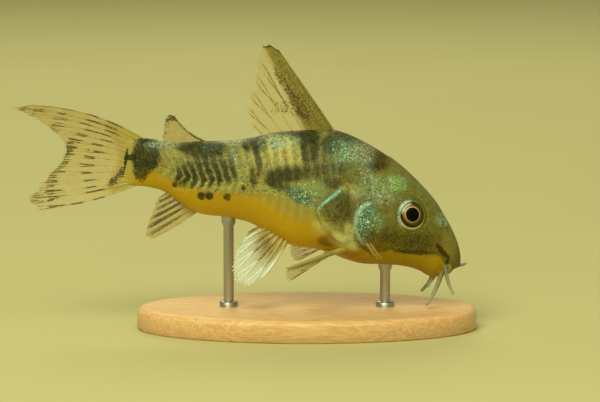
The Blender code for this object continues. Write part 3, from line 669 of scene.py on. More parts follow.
def plate_relief():
    """Each plate rises from under the one before it to its own free rear edge."""
    lift = np.where(PHASE >= 0, np.interp(PHASE, *np.array(PLATE_PROFILE).T), 0.0)
    flank = (1 - 0.97 * ease(-0.6, 0.6, BELOW_EDGE)) * (1 - ease(42.5, 44.0, NOMINAL))
    bare = (1 - 0.6 * ease(0.88, 1.0, SHARE)) * flank * (1 - IN_SHOULDER)
    return (PLATE_RELIEF * lift + ridges(SHARE - SIDE_LINE, SIDE_GROOVE) * ON_PLATES) * bare


def bone_relief():
    """The gill cover and the shoulder plate, each with a crisp rear edge, and the lower edge of the cheek."""
    rear_edge = 0.25 + 0.75 * ease(9.6, 11.8, BACK)
    lift = BONE_STEP * ease(-0.03, 0.2, GILL_DEPTH) * rear_edge + GILL_CROWN * ease(0.2, 2.6, GILL_DEPTH)
    lift += BONE_STEP * ease(-0.03, 0.18, SHOULDER_DEPTH) + ridges(SHOULDER_DEPTH, SHOULDER_RIDGE)
    return lift + CHEEK_STEP * ease(-0.15, 0.2, ABOVE_CHEEK) * ON_CHEEK


def opening_relief():
    """The gill slit, the orbit, the nostrils and the mouth with its lips."""
    lift = ridges(GILL_DEPTH, GILL_SLIT) * ease(10.4, 12.4, BACK) + ridges(FROM_EYE, LID_FOLDS)
    lift -= ORBIT_DEPTH * (1 - ease(ORBIT_RADIUS - ORBIT_WALL, ORBIT_RADIUS, FROM_EYE))
    for back, up, radius in NOSTRILS:
        lift += ridges(np.hypot(BACK - back, UP - up) / radius, NOSTRIL_RING)
    return lift + ridges(FROM_MOUTH, LIPS) * (1 - ease(MOUTH_TURN - 0.1, MOUTH_TURN + 0.25, ANGLES))


EYE_MIDDLE, EYE_AXIS = eye_frame()
ON_PLATES = (PHASE >= 0).astype(float)
BELOW_EDGE = np.interp(BACK, *np.array(AMBER_EDGE).T) - UP
GILL_DEPTH = depth_inside(BACK, UP, rounded(GILL_COVER, 96))
SHOULDER_DEPTH = depth_inside(BACK, UP, rounded(SHOULDER_PLATE, 96))
IN_SHOULDER = ease(-0.3, 0.1, SHOULDER_DEPTH)
ABOVE_CHEEK = UP - np.interp(BACK, *np.array(CHEEK_EDGE).T)
ON_CHEEK = ease(2.3, 3.4, BACK) * (1 - ease(9.4, 10.2, BACK))
FROM_MOUTH = REAL_ALONG - MOUTH_ALONG - MOUTH_BEND * (ANGLES / MOUTH_TURN) ** 2
away = BODY - EYE_MIDDLE
depth = away @ EYE_AXIS
# Nothing on the far side of the head counts as near the eye
FROM_EYE = np.linalg.norm(away - depth[..., None] * EYE_AXIS, axis=-1) + 9.0 * (depth < -2.5)
SKIN = BODY + OUTWARD * (plate_relief() + bone_relief() + opening_relief())[..., None]

# Dark markings: name, back, up, half length, half height, degrees that it rises to the snout, and strength
DARK_MARKS = (
    ("tail stalk, top", 42.16, 22, 1.55, 1.5, 0, 1.1),
    ("tail stalk, middle", 42.43, 20.46, 2, 1.8, 0, 1.3),
    ("tail stalk, below", 43.1, 18.62, 1.2, 1.4, 0, 0.85),
    ("link to the tail root", 44.69, 20.4, 0.8, 0.4, 0, 1.2),
    ("tail root", 45.22, 20, 0.24, 1.6, -10, 1.2),
    ("saddle under the fatty fin", 34.6, 21.6, 2.8, 1.1, 0, 1.5),
    ("saddle's rear", 37.6, 21.9, 1, 0.6, 0, 0.7),
    ("flank before the tail stalk", 34.7, 18.45, 4, 1.75, 8, 1.35),
    ("between the plates' marks", 34.6, 18.8, 4.4, 2, 8, 0.5),
    ("flank, further forward", 31.2, 18.6, 1.2, 1.5, 0, 0.7),
    ("rear saddle", 27.95, 22.4, 2.1, 1.1, 0, 1.05),
    ("streak under it", 27.3, 20.75, 0.6, 1.7, 10, 0.8),
    ("foot of the streak", 27.85, 18.37, 0.8, 1.7, -10, 0.75),
    ("second streak", 31.1, 19.95, 0.55, 1.3, -5, 0.5),
    ("foot of the dorsal fin", 22.82, 23.65, 3.2, 0.3, 0, 0.9),
    ("black blotch", 20.6, 22.25, 1.4, 2, -10, 1.9),
    ("black blotch, top", 21, 23.5, 1.5, 0.9, 0, 1.4),
    ("crease before the fin", 17.6, 22.3, 1.3, 1.3, -20, 1),
    ("behind the nape", 18.7, 20.4, 1.6, 1.2, 0, 0.5),
    ("nape line", 15.26, 23.1, 3, 0.6, -22, 0.8),
    ("middle blotch", 23.6, 18.6, 2.7, 1.25, 5, 0.9),
    ("middle blotch, rear", 25.35, 17.75, 1, 1, 0, 1),
    ("spot below it", 24.57, 16.96, 0.6, 0.75, 0, 0.8),
    ("second spot below it", 23.49, 16.7, 0.6, 0.75, 0, 0.8),
    ("before the middle blotch", 20.2, 18.8, 2.2, 1.2, 0, 0.62),
    ("patch behind the shoulder", 21.8, 15.75, 2, 0.95, -25, 0.85),
    ("flank over the shoulder", 16.74, 18.6, 2.2, 1.5, 0, 0.45),
    ("top of the shoulder", 17.69, 17.41, 1.5, 0.8, 0, 0.6),
    ("shoulder plate", 17.01, 14.1, 2.3, 2.7, 10, 0.66),
    ("brown patch on the nape", 11.2, 20.25, 1.85, 1.35, -20, 0.75),
    ("temple", 14.4, 20.2, 1.6, 0.9, 0, 0.45),
    ("below the brown patch", 12.1, 19.1, 1, 1.1, 0, 0.48),
    ("below the nape", 16.8, 19.4, 1.5, 0.9, 0, 0.45),
    ("over the shoulder plate", 15.7, 15.9, 0.9, 0.8, 0, 0.36),
    ("behind the eye", 9.4, 14.9, 1, 1.6, 0, 0.35),
    ("front of the gill cover", 9.8, 10.9, 1.2, 1.6, 0, 0.38),
    ("over the eye", 7.6, 16.9, 0.9, 0.6, -20, 0.4),
    ("under the glitter", 12.6, 12, 1.2, 1.8, 0, 0.42),
    ("foot of the gill cover", 11.6, 10.4, 1.6, 1.3, 0, 0.36),
    ("cheek", 6.2, 9.5, 3.4, 1.3, -6, 0.44),
    ("lower edge of the cheek", 6.48, 8.1, 3.3, 0.26, -4, 0.55),
    ("line to the mouth", 2.6, 7.9, 1.35, 0.34, -51, 1.2),
    ("corner of the mouth", 1.85, 6.6, 0.3, 0.8, -10, 0.9),
    ("belly spot", 38.48, 16.88, 0.46, 0.4, 0, 0.9),
    ("second belly spot", 34.97, 15.47, 0.55, 0.6, 0, 1.1),
    ("third belly spot", 33.89, 15.5, 0.55, 0.6, 0, 1.1),
    ("fourth belly spot", 31.46, 15.43, 0.55, 0.55, 0, 0.8),
    ("fifth belly spot", 29.3, 16.73, 0.36, 0.36, 0, 0.9),
)

# Places of painted glitter, that is painted glints and sheen, then the hue of their glitter from 0, blue, to 1,
# yellow-green
GLITTER = (
    ("top of the tail stalk", 41.04, 22.17, 1.3, 0.68, 0, 0.6, 0.1),
    ("under the fatty fin", 33.48, 21.95, 1.4, 0.54, 0, 0.45, 0.1),
    ("under the dorsal fin", 24.98, 22.4, 0.54, 0.68, 0, 0.9, 0.2),
    ("rear flank", 30.65, 21, 0.8, 1.2, 0, 0.5, 0.3),
    ("behind the black blotch", 22.01, 22.9, 0.54, 0.68, 0, 0.6, 0.4),
    ("nape", 16.07, 21.6, 2.2, 1.7, -20, 0.82, 0.36),
    ("below the nape", 15.2, 19.6, 2.8, 1.4, 0, 0.22, 0.5),
    ("behind the shoulder", 21.7, 15.9, 2.2, 1.15, -25, 0.8, 0.35),
    ("over the shoulder", 19.58, 16.88, 1.7, 1.22, 0, 0.6, 0.55),
    ("bright spot over the eye", 8.6, 17.2, 1.3, 0.8, -20, 1.2, 0.66),
    ("over the eye, further back", 9.9, 17.4, 2, 1.2, -15, 0.5, 0.6),
    ("temple", 12.83, 16.62, 2.43, 1.9, 0, 0.35, 0.4),
    ("gill cover", 13.15, 13.1, 1.5, 2.2, -12, 1.25, 0.22),
    ("rim of the brown patch", 12.6, 20.1, 0.45, 1.3, 0, 0.7, 0.15),
    ("gill cover, front", 11.6, 12.3, 1.3, 1.3, 0, 0.7, 0.6),
    ("behind the eye", 9.59, 13.19, 1.35, 1.9, 0, 0.2, 0.5),
    ("foot of the gill cover", 13.37, 10.56, 1.08, 1.09, 0, 0.4, 0.3),
)

# Cream, red-brown and silvery grey places
PALE_MARKS = (
    ("flank under the dorsal fin", 23.8, 21.3, 3, 1.6, 0, 0.55),
    ("flank over the fatty fin", 39, 20.6, 1.6, 1.2, 0, 0.15),
    ("feet of the flank plates", 36, 16.75, 2.6, 0.55, 8, 1.5),
    ("feet of the plates, forward", 31.5, 16.6, 2, 0.45, 0, 0.5),
    ("over the pectoral fin", 15.7, 9.8, 1.8, 0.62, -37, 1.2),
    ("round the pectoral fin", 15.9, 9.6, 2, 1.1, -20, 0.5),
    ("below the shoulder plate", 18.7, 11.6, 1.3, 0.9, 30, 0.4),
    ("fold over the gill cover", 14.6, 16.6, 1.6, 0.7, -15, 0.45),
    ("between the bones", 15.2, 11.2, 0.6, 1.4, 10, 0.8),
    ("snout", 1.6, 8.8, 1.2, 2.6, 0, 0.2),
    ("lips", 1.86, 5.5, 0.55, 0.6, 0, 0.9),
    ("behind the shoulder plate", 19.3, 12.3, 0.9, 0.7, 20, 0.5),
    ("before the tail stalk", 39.3, 17.9, 1.5, 0.8, 10, 0.5),
)
BROWN_MARKS = (
    ("over the gill cover", 14.1, 15.3, 1.1, 0.5, -45, 0.5),
    ("before the pectoral fin", 18, 9.7, 1.25, 0.75, 0, 1.5),
    ("throat behind the gill cover", 14.6, 8.3, 1.5, 0.7, 0, 0.5),
    ("behind the eye", 10, 14.4, 0.6, 1.2, 0, 0.2),
    ("nape", 11.3, 20.2, 1.9, 1.3, -20, 0.45),
    ("foot of the gill cover", 12.1, 9.3, 1.5, 1, 0, 0.3),
    ("line to the mouth", 2.6, 7.9, 1.3, 0.36, -51, 1),
)
SILVER_MARKS = (
    ("under the dorsal fin", 24.6, 22.6, 2.6, 1, 0, 0.75),
    ("behind the dorsal fin", 30.5, 22.6, 1.6, 0.5, 0, 0.5),
    ("top of the tail stalk", 40, 22.2, 2.2, 0.5, 0, 0.6),
    ("nape", 13.6, 21.2, 2, 1.5, -20, 0.5),
    ("temple", 10.9, 15.8, 1.9, 1.3, 0, 0.55),
    ("behind the gill cover", 15.1, 10.8, 0.6, 1.4, -10, 0.4),
    ("over the pectoral fin", 15.7, 9.8, 1.6, 0.5, -37, 0.5),
    ("below the brown patch", 12.4, 17.8, 1.2, 1.4, 0, 0.42),
    ("snout", 2.5, 12.1, 1.1, 0.85, 0, 0.55),
    ("fold over the gill cover", 14.4, 16.1, 1.2, 0.8, -10, 0.35),
)

# Where the plates show as pale stripes
STRIPED = (
    ("under the dorsal fin", 23.8, 21.2, 3.2, 1.9, 0, 0.95),
    ("before the tail stalk", 34.5, 18.2, 4.6, 2, 0, 0.9),
    ("middle of the flank", 29.3, 19.8, 2.4, 3, 0, 0.65),
    ("over the belly", 24.5, 14.6, 5, 2.2, 0, 0.6),
)


def each_mark(rows):
    """How strongly each point of the skin lies in each of the marks."""
    each = []
    for _, back, up, half_length, half_height, rise, strength, *_ in rows:
        turn = math.radians(rise)
        level = ((back - BACK) * math.cos(turn) + (UP - up) * math.sin(turn)) / half_length
        upright = ((BACK - back) * math.sin(turn) + (UP - up) * math.cos(turn)) / half_height
        each.append(strength * (1 - ease(0.45, 1.45, np.hypot(level, upright))))
    return np.array(each)


def marks(rows):
    """How strongly each point of the skin lies in the marks together."""
    return 1 - np.prod(1 - each_mark(rows).clip(0, 0.98), axis=0)


# The plates' pale rims, a little uneven, faint over the belly and clear where the flank is striped
on_flank_plates = ease(15.5, 16.5, NOMINAL)
uneven = PHASE + 0.05 * np.sin(3.1 * UP + 1.7 * NOMINAL) + 0.04 * np.sin(7.3 * UP - 2.9 * NOMINAL)
plate_rim = (0.5 + 0.5 * np.cos(2 * np.pi * (uneven - 0.76))) ** 1.4 * ON_PLATES * (1 - IN_SHOULDER)
over_belly = BELOW_EDGE - 2.4 * bell(BACK - 23.5, 4.5)
plate_rim *= (1 - 0.93 * ease(-0.3, 0.9, over_belly)) * (0.2 + 0.8 * marks(STRIPED))

# The lids round the eye with painted highlights, the rims of the gill cover and of the shoulder plate, a
# painted highlight on that plate's upper rim, and the two folds
behind_eye, over_eye = (BACK - EYE_PLACE[0]) / EYE_RADIUS, (UP - EYE_PLACE[1]) / EYE_RADIUS
lower_lid = bell(FROM_EYE - 1.86, 0.16) * ease(0.35, 0.95, 0.25 * behind_eye - over_eye)
rear_lid_and_highlight = bell(FROM_EYE - 1.98, 0.24) * ease(0.25, 0.9, behind_eye + 0.2 * over_eye)
# A painted highlight spot behind and above the eye
rear_lid_and_highlight += 0.9 * bell(np.hypot(behind_eye - 0.72, over_eye - 0.80), 0.30)
# A painted highlight on the lid where it faces the light
to_light = (0.62 * behind_eye + 0.78 * over_eye) * EYE_RADIUS / FROM_EYE
lit_lid_highlight = bell(FROM_EYE - 1.78, 0.20) * ease(0.72, 0.98, to_light)
gill_rim = bell(GILL_DEPTH - 0.10, 0.24) * ease(11.8, 13.3, BACK) * ease(8.6, 11.0, UP)
# A painted blue-green highlight along the shoulder plate's upper rim
shoulder_rim_highlight = bell(SHOULDER_DEPTH - 0.12, 0.17) * ease(13.1, 14.4, UP) * ease(15.8, 16.6, BACK)
shoulder_rim_highlight *= 1 - 0.4 * ease(17.8, 19.6, BACK)
streaks = sum(bell(to_line(BACK, UP, streak)[0], 0.10) for streak in GILL_STREAKS)

# The parts of the head, and where the paint lies calm and even
on_head = 1 - ease(14.2, 17.4, REAL_ALONG)
head_height = (-BELOW_EDGE / (section(REAL_ALONG)[1] - (UP + BELOW_EDGE))).clip(0, 1)
cheek = ease(3.6, 5.0, BACK) * (1 - ease(9.6, 11.2, BACK)) * (1 - ease(10.2, 11.6, UP))
snout = (1 - ease(2.2, 4.4, BACK)) * (1 - ease(9.5, 12.5, UP))
calm_head = on_head * (1 - cheek) * (1 - ease(9.5, 11.5, BACK) * 0.55)
calm_flank = (0.35 + 0.55 * bell(BACK - 39.4, 1.3)) * on_flank_plates
glitter = each_mark(GLITTER)
hues = np.array([row[-1] for row in GLITTER])[:, None, None]
PAINT = {
    "height": head_height,
    "low": np.maximum((1.3 - 1.4 * head_height).clip(0, 1), snout) * on_head,
    "calm": np.maximum.reduce([calm_head, 0.7 * IN_SHOULDER, calm_flank]),
    # Painted highlight on the lid, and the pale rim of the gill cover
    "white": (lit_lid_highlight + 0.16 * gill_rim).clip(0, 1),
    "amber": ease(-0.35, 0.5, BELOW_EDGE),
    "amber_depth": ((BELOW_EDGE - 2.0 * bell(BACK - 22.5, 5.0)) / 5.0 + 0.2).clip(0, 1),
    "head": on_head,
    "dark": marks(DARK_MARKS) * (1 - 0.62 * plate_rim * on_flank_plates),
    "rim": plate_rim * on_flank_plates,
    "sheen": marks(GLITTER),
    "hue": (glitter * hues).sum(0) / glitter.sum(0).clip(1e-3),
    "pale": (
        marks(PALE_MARKS) * (1 - 0.75 * (1 - plate_rim) * on_flank_plates * ease(12.0, 13.0, UP))
        + streaks + lower_lid + 0.85 * gill_rim
    ).clip(0, 1),
    # Painted shade in the orbit, the lid's crease, the mouth slit, and beside the shoulder plate and the gill
    # cover
    "groove": (
        (FROM_EYE < ORBIT_RADIUS) + 0.5 * bell(FROM_EYE - 2.12, 0.15)
        + bell(FROM_MOUTH, 0.13) * (ANGLES < 0.95)
        + 0.45 * bell(SHOULDER_DEPTH + 0.1, 0.12) * ease(11.4, 12.8, UP)
        + 0.30 * bell(GILL_DEPTH + 0.14, 0.13) * ease(10.4, 12.4, BACK)
    ).clip(0, 1),
    "root": ease(43.6, 44.8, REAL_ALONG),
    "brown": marks(BROWN_MARKS),
    # Silvery places, with the painted highlight behind and above the eye
    "silver": (marks(SILVER_MARKS) + rear_lid_and_highlight + 0.95 * gill_rim).clip(0, 1),
    # Painted highlight on the shoulder plate's upper rim
    "cyan": shoulder_rim_highlight,
}

# The skin's paints, which are mixed and laid over one another by the painted values above
OLIVE_RIM = (172, 182, 118)
OLIVE_PALE = (152, 148, 66)
OLIVE = (128, 124, 56)
OLIVE_DARK = (92, 94, 44)
HEAD_CHEEK = (98, 88, 0)
HEAD_SIDE = (97, 102, 30)
HEAD_TOP = (107, 112, 52)
AMBER_PALE = (144, 134, 52)
AMBER = (172, 142, 0)
# The lowest amber is paler: painted light from below
AMBER_LIT_BELOW = (198, 163, 0)
AMBER_HEAD = (154, 130, 0)
BLOTCH = (18, 22, 8)
BLOTCH_SOFT = (50, 55, 20)
BLOTCH_TEAL = (78, 96, 60)
SHEEN_TEAL = (40, 84, 74)
SHEEN_GREEN = (128, 160, 76)
# Colours of the painted glints
GLINTS = ((96, 196, 190), (214, 244, 222), (128, 216, 132), (228, 234, 112))
HEAD_GRAIN = (156, 156, 72)
CHEEK_GRAIN = (150, 136, 8)
CHEEK_DARK = (40, 34, 0)
GREY_TEAL = (104, 128, 104)
UMBER = (106, 96, 44)
BROWN = (122, 84, 14)
# Silvery skin, and the painted highlight behind and above the eye
SILVER_AND_HIGHLIGHT = (162, 186, 168)
# The painted highlight on the shoulder plate's upper rim
CYAN_HIGHLIGHT = (104, 190, 190)
# The painted highlight on the lid, and the pale rim of the gill cover
LID_HIGHLIGHT_AND_PALE_RIM = (186, 226, 234)
RIM_PALE = (194, 190, 118)
# Dark brown in the blotches, and painted shade in the creases
DARK_BROWN_AND_SHADE = (52, 38, 8)
FIN_ROOT = (160, 153, 80)


def skin_finish():
    """Olive, dark-blotched and amber paint with a fine grain, painted glints, highlights and shade, under a
    thin wet gloss.
    """
    made, shader, spot = new_finish("wet olive skin")
    painted = {name: spot.painted(name) for name in PAINT}
    mottle, grain, fine = spot.noise(1.9, 3.0, 0.65), spot.noise(4.2, 2.0, 0.65), spot.noise(9.0, 2.0, 0.6)
    cloudy, tint = spot.noise(0.7, 2.0), (spot + 70.0).noise(1.3, 3.0, 0.6)
    # The same, round zero
    mottled, grainy, gritty = mottle - 0.5, grain - 0.5, fine - 0.5
    height = painted["height"] + mottled * 0.35
    paint = height.ramp((0.0, OLIVE_PALE), (0.35, OLIVE), (0.8, OLIVE), (1.0, OLIVE_DARK))

    def coat(share, shade):
        nonlocal paint
        paint = share.mix(paint, shade)

    # Pale rims of the plates, then the head and the amber belly, paler lower down as painted light from below
    coat(painted["rim"] * (0.35 + mottle * 1.1) * 0.85, OLIVE_RIM)
    head = height * (1.0 - painted["low"] * 0.8)
    coat(painted["head"], head.ramp((0.0, HEAD_CHEEK), (0.5, HEAD_SIDE), (1.0, HEAD_TOP)))
    amber = painted["amber_depth"] + (cloudy - 0.5) * 0.2 + mottled * 0.15
    amber = amber.ramp((0.05, AMBER_PALE), (0.35, AMBER), (1.0, AMBER_LIT_BELOW))
    naked = (painted["amber"] + mottled * 0.6 + grainy * 0.3).ease(0.25, 0.75)
    coat(naked, painted["head"].mix(amber, AMBER_HEAD))
    coat(painted["rim"] * painted["amber"] * (0.05 + mottle * 0.35), RIM_PALE)

    # Light and dark grains all over the bony parts, fainter on the belly
    bony = 1.0 - painted["amber"] * 0.85
    low_head, busy = painted["low"], 1.0 - painted["calm"] * 0.7
    cool = bony * (1.0 - low_head * 0.85)
    coat(((tint - 0.5) * 4.0).between(0.0, 0.45) * cool, GREY_TEAL)
    coat(((0.5 - tint) * 4.0).between(0.0, 0.45) * bony, UMBER)
    grains = (grainy * 2.2 + mottled * 1.4 + gritty * 0.9) * bony * busy
    coat((grains * 1.4).at_most(0.6), low_head.mix(painted["head"].mix(OLIVE_RIM, HEAD_GRAIN), CHEEK_GRAIN))
    coat((grains * -2.1).at_most(0.75), BLOTCH_SOFT)

    # Red-brown and cream places, and the dull ground of the painted sheen under the painted glints
    brown = (painted["brown"] * (0.5 + mottle)).at_most(0.85)
    coat(brown, BROWN)
    pale = (painted["pale"] * (0.5 + mottle)).at_most(1.0)
    coat(pale * 0.8, RIM_PALE)
    sheen = painted["sheen"] * (0.45 + mottle * 1.1)
    coat((sheen * 0.7).at_most(0.85), painted["hue"].ramp((0.3, SHEEN_TEAL), (0.9, SHEEN_GREEN)))

    # Dark blotches, broken up by grains and fine upright hairs, and dots
    hairs = spot.stretched(1.0, 1.0, 0.45).noise(5.5, 2.0, 0.6)
    edge = painted["dark"] + (mottled * 1.7 + grainy * 2.1 + (hairs - 0.5) * 0.9) * busy.at_least(0.6)
    tone = grain * 0.5 + hairs * 0.25 + tint * 0.55 - 0.17
    blotch = tone.ramp((0.38, BLOTCH), (0.56, BLOTCH_SOFT), (0.72, BLOTCH_TEAL))
    blotch = (brown * 0.9).mix((low_head * 0.6).mix(blotch, CHEEK_DARK), DARK_BROWN_AND_SHADE)
    coat(edge.ease(0.20, 0.92) * (0.96 - pale * 0.4), blotch)
    dots = spot.cells(4.6) + gritty * 0.4
    dotted = (painted["head"] + painted["dark"]) * 0.5 * (1.0 - painted["amber"] * 0.8) + bony * 0.15
    coat((0.40 - dots).ease(-0.08, 0.14) * (dotted * busy).at_most(0.8), BLOTCH)

    # Painted glints in small cells of many hues, then the silvery rims of the bones with a painted highlight by
    # the eye, a painted blue-green highlight on the shoulder plate's upper rim, and a painted highlight on the
    # lid
    glint_cell = spot.cells(5.4, "Color")
    glint_cell = glint_cell.node("ShaderNodeSeparateColor", inputs={0: glint_cell})
    glint_hue = Wire(glint_cell.tree, glint_cell.socket.node.outputs[1])
    glint = painted["hue"] * 0.8 + (glint_hue - 0.5) * 0.7
    glint = glint.ramp(*((0.05 + 0.3 * number, shade) for number, shade in enumerate(GLINTS)))
    sparkle = (glint_cell * 0.8 + sheen * 0.6 + grainy * 1.6).ease(0.98, 1.26) * sheen.ease(0.05, 0.3)
    faint = (glint_cell + grainy).ease(0.92, 1.2) * cool * 0.34
    glimmer = spot.stretched(1.0, 1.0, 0.6).noise(5.6, 2.0, 0.7).ease(0.44, 0.58)
    coat(sheen * 0.10, glint)
    coat((sparkle + faint) * glimmer, glint)
    coat((painted["silver"] * (mottled * 2.4 + grainy * 4.2 + 0.55)).at_most(0.9), SILVER_AND_HIGHLIGHT)
    cyan = (painted["cyan"] * (grainy * 3.0 + mottled * 2.0 + 0.95)).between(0.0, 1.0)
    coat(cyan, CYAN_HIGHLIGHT)
    coat((painted["white"] * (0.5 + grain * 0.9)).at_most(0.95), LID_HIGHLIGHT_AND_PALE_RIM)
    coat((cyan * grainy * 4.0).at_most(0.9), GLINTS[1])

    # Painted shade in the grooves and creases, and the straw of the fin at the end of the tail stalk
    coat(painted["groove"] * 0.8, DARK_BROWN_AND_SHADE)
    coat(painted["root"] * (1.0 - edge.ease(0.2, 0.7)) * 0.9, FIN_ROOT)
    dress(
        shader,
        base_color=paint,
        metallic=sparkle * 0.35,
        roughness=0.50 + gritty * 0.2 - sparkle * 0.18,
        specular_ior_level=0.16,
        coat_weight=0.08,
        coat_roughness=0.18,
        normal=(fine * 0.5 + spot.cells(4.5) * 0.35 + mottle * 0.6).bump(0.04, 0.6),
    )
    return made


def cap(ring, direction, bulge):
    """Rings that close an end, rounded out by a distance along its direction."""
    middle = ring.mean(0)
    sizes = np.array([0.86, 0.68, 0.46, 0.22, 0.06])[:, None, None]
    return middle + (ring - middle) * sizes + np.array(direction) * bulge * (1 - sizes**2)


def body_mesh():
    """Points, faces and painted values of the whole skin: the right side, its mirror and the two caps."""
    rings = np.concatenate([SKIN, (SKIN * (1, 1, -1))[:, -2:0:-1]], axis=1)
    nose, tail = cap(rings[0], (-0.77, -0.64, 0.0), 0.24), cap(rings[-1], (1.0, 0.0, 0.0), 0.10)
    painted = {}
    for name, values in PAINT.items():
        values = np.concatenate([values, values[:, -2:0:-1]], axis=1)
        values = np.concatenate([values[:1]] * len(nose) + [values] + [values[-1:]] * len(tail))
        painted[name] = np.append(values.ravel(), [values[0].mean(), values[-1].mean()])
    rings = np.concatenate([nose[::-1], rings, tail])
    points = np.concatenate([rings.reshape(-1, 3), [rings[0].mean(0), rings[-1].mean(0)]])
    return points, tube_faces(*rings.shape[:2]), painted


points, faces, painted = body_mesh()
skin = new_piece("skin", to_world(points), faces, skin_finish(), painted)
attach(skin, "root")
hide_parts("head", "trunk", "tail_stalk")


# Each eye is a flattened glass dome set 0.6 mm proud of its socket. The iris is painted behind the glass: a
# thin ring of pink gold round the black pupil, paler below as a painted highlight, then brown and olive, with a
# pink cast above, a dark rim, and a painted highlight at the rim above and towards the tail.

EYE_HEIGHT = 0.78
EYE_SIDES = 96
FRONT_ROWS, REAR_ROWS = 44, 14
PUPIL_PLACE = (0.15, 0.03)
PUPIL_RADIUS = 0.95
RING_RADIUS = 1.035
IRIS_RADIUS = 1.44
PUPIL_BLACK = (6, 4, 4)
RING_GOLD = (214, 198, 160)
IRIS_BROWN = (112, 90, 46)
IRIS_OLIVE = (66, 56, 16)
IRIS_PINK = (160, 114, 62)
IRIS_RIM = (40, 36, 18)
EYE_RIM_HIGHLIGHT = (176, 194, 192)


def painted_eye():
    """The iris and the pupil under clear glass with painted highlights, drawn by the places painted across and
    above the middle.
    """
    made, shader, spot = new_finish("glass eye")
    across, upward = spot.painted("across"), spot.painted("upward")
    grain, mottle = spot.noise(9.0, 2.0), spot.noise(3.0, 2.0)
    grainy = grain - 0.5
    sideways, above = across - PUPIL_PLACE[0], upward - PUPIL_PLACE[1]
    reach = (sideways * sideways + above * above) ** 0.5 + (mottle - 0.5) * 0.06
    from_middle = (across * across + upward * upward) ** 0.5
    iris = (reach + grainy * 0.2).ease(RING_RADIUS, 1.34).mix(IRIS_BROWN, IRIS_OLIVE)
    iris = ((across * 0.75 + upward * 0.65 + grainy * 0.6).ease(0.6, 1.25) * 0.75).mix(iris, IRIS_PINK)
    # The gold ring is paler lower down: a painted highlight
    ring = (grain * 0.9 - upward * 0.25).at_most(0.8).mix(RING_GOLD, IRIS_BROWN)
    paint = (reach + grainy * 0.08).ease(RING_RADIUS - 0.06, RING_RADIUS + 0.10).mix(ring, iris)
    paint = reach.ease(PUPIL_RADIUS - 0.02, PUPIL_RADIUS + 0.04).mix(PUPIL_BLACK, paint)
    paint = from_middle.ease(IRIS_RADIUS - 0.08, IRIS_RADIUS + 0.06).mix(paint, IRIS_RIM)
    # A painted highlight at the rim, above and towards the tail
    glow = from_middle.ease(1.30, 1.48) * (across * 0.65 + upward * 0.76).ease(1.0, 1.4)
    dress(
        shader,
        base_color=glow.mix(paint, EYE_RIM_HIGHLIGHT),
        roughness=0.3,
        specular_ior_level=0.05,
        coat_weight=reach.ease(PUPIL_RADIUS - 0.1, PUPIL_RADIUS + 0.1) * 0.75 + 0.15,
        coat_roughness=0.02,
        coat_ior=1.3,
    )
    return made


def eye_dome(side):
    """A flattened ball on the eye's axis, with each point's place across and above the middle painted on."""
    tailwards = np.array([1.0, 0.0, -EYE_AXIS[0] / EYE_AXIS[2]])
    tailwards /= np.linalg.norm(tailwards)
    axes = np.stack([tailwards, np.cross(EYE_AXIS, tailwards), EYE_AXIS])
    turns = np.linspace(0, 2 * np.pi, EYE_SIDES, endpoint=False)
    front, rear = np.linspace(0, np.pi / 2, FRONT_ROWS)[1:], np.linspace(np.pi / 2, np.pi, REAR_ROWS)[1:-1]
    tilts = np.concatenate([front, rear])
    reach = EYE_RADIUS * np.sin(tilts)[:, None]
    across, upward = reach * np.cos(turns), reach * np.sin(turns)
    height = (EYE_HEIGHT * np.cos(tilts))[:, None] + 0 * across
    points = (np.stack([across, upward, height], -1) @ axes).reshape(-1, 3)
    poles = [EYE_HEIGHT * EYE_AXIS, -EYE_HEIGHT * EYE_AXIS]
    points = (EYE_MIDDLE + np.concatenate([points, poles])) * (1, 1, side)
    faces = [face[::side] for face in tube_faces(len(tilts), EYE_SIDES)]
    painted = {"across": np.append(across.ravel(), [0, 0]), "upward": np.append(upward.ravel(), [0, 0])}
    return points, faces, painted


glass_eye = painted_eye()
for node, side in (("eye_right", 1), ("eye_left", -1)):
    points, faces, painted = eye_dome(side)
    eye = new_piece(node.replace("eye", "glass_eye"), to_world(points), faces, glass_eye, painted)
    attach(eye, "root")
    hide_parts(node)


# The fins are thin clear sheets, cast in straw-tinted resin over fine rays that fork twice on their way to
# the rim. The dark dashes are inked on the rays, and the roots are let into the body.

# Where rays fork, as shares of their length, and radii at the start and end of their parts. A first ray whose
# radius is over SPINE_FROM times a stem's is a spine, and doesn't fork.
FORKS = (0.45, 0.72)
STEM, BRANCH, TWIG = (0.15, 0.11), (0.085, 0.06), (0.05, 0.028)
SPINE_FROM = 1.1
# How far apart branches and twigs come at the rim, as a share of the space between rays
BRANCHES_APART, TWIGS_APART = 0.26, 0.12
WEB_THICK = (0.075, 0.03)
COLUMNS_PER_RAY = 16
WEB_ROWS = 56
RAY_POINTS = 30
RAY_SIDES = 8

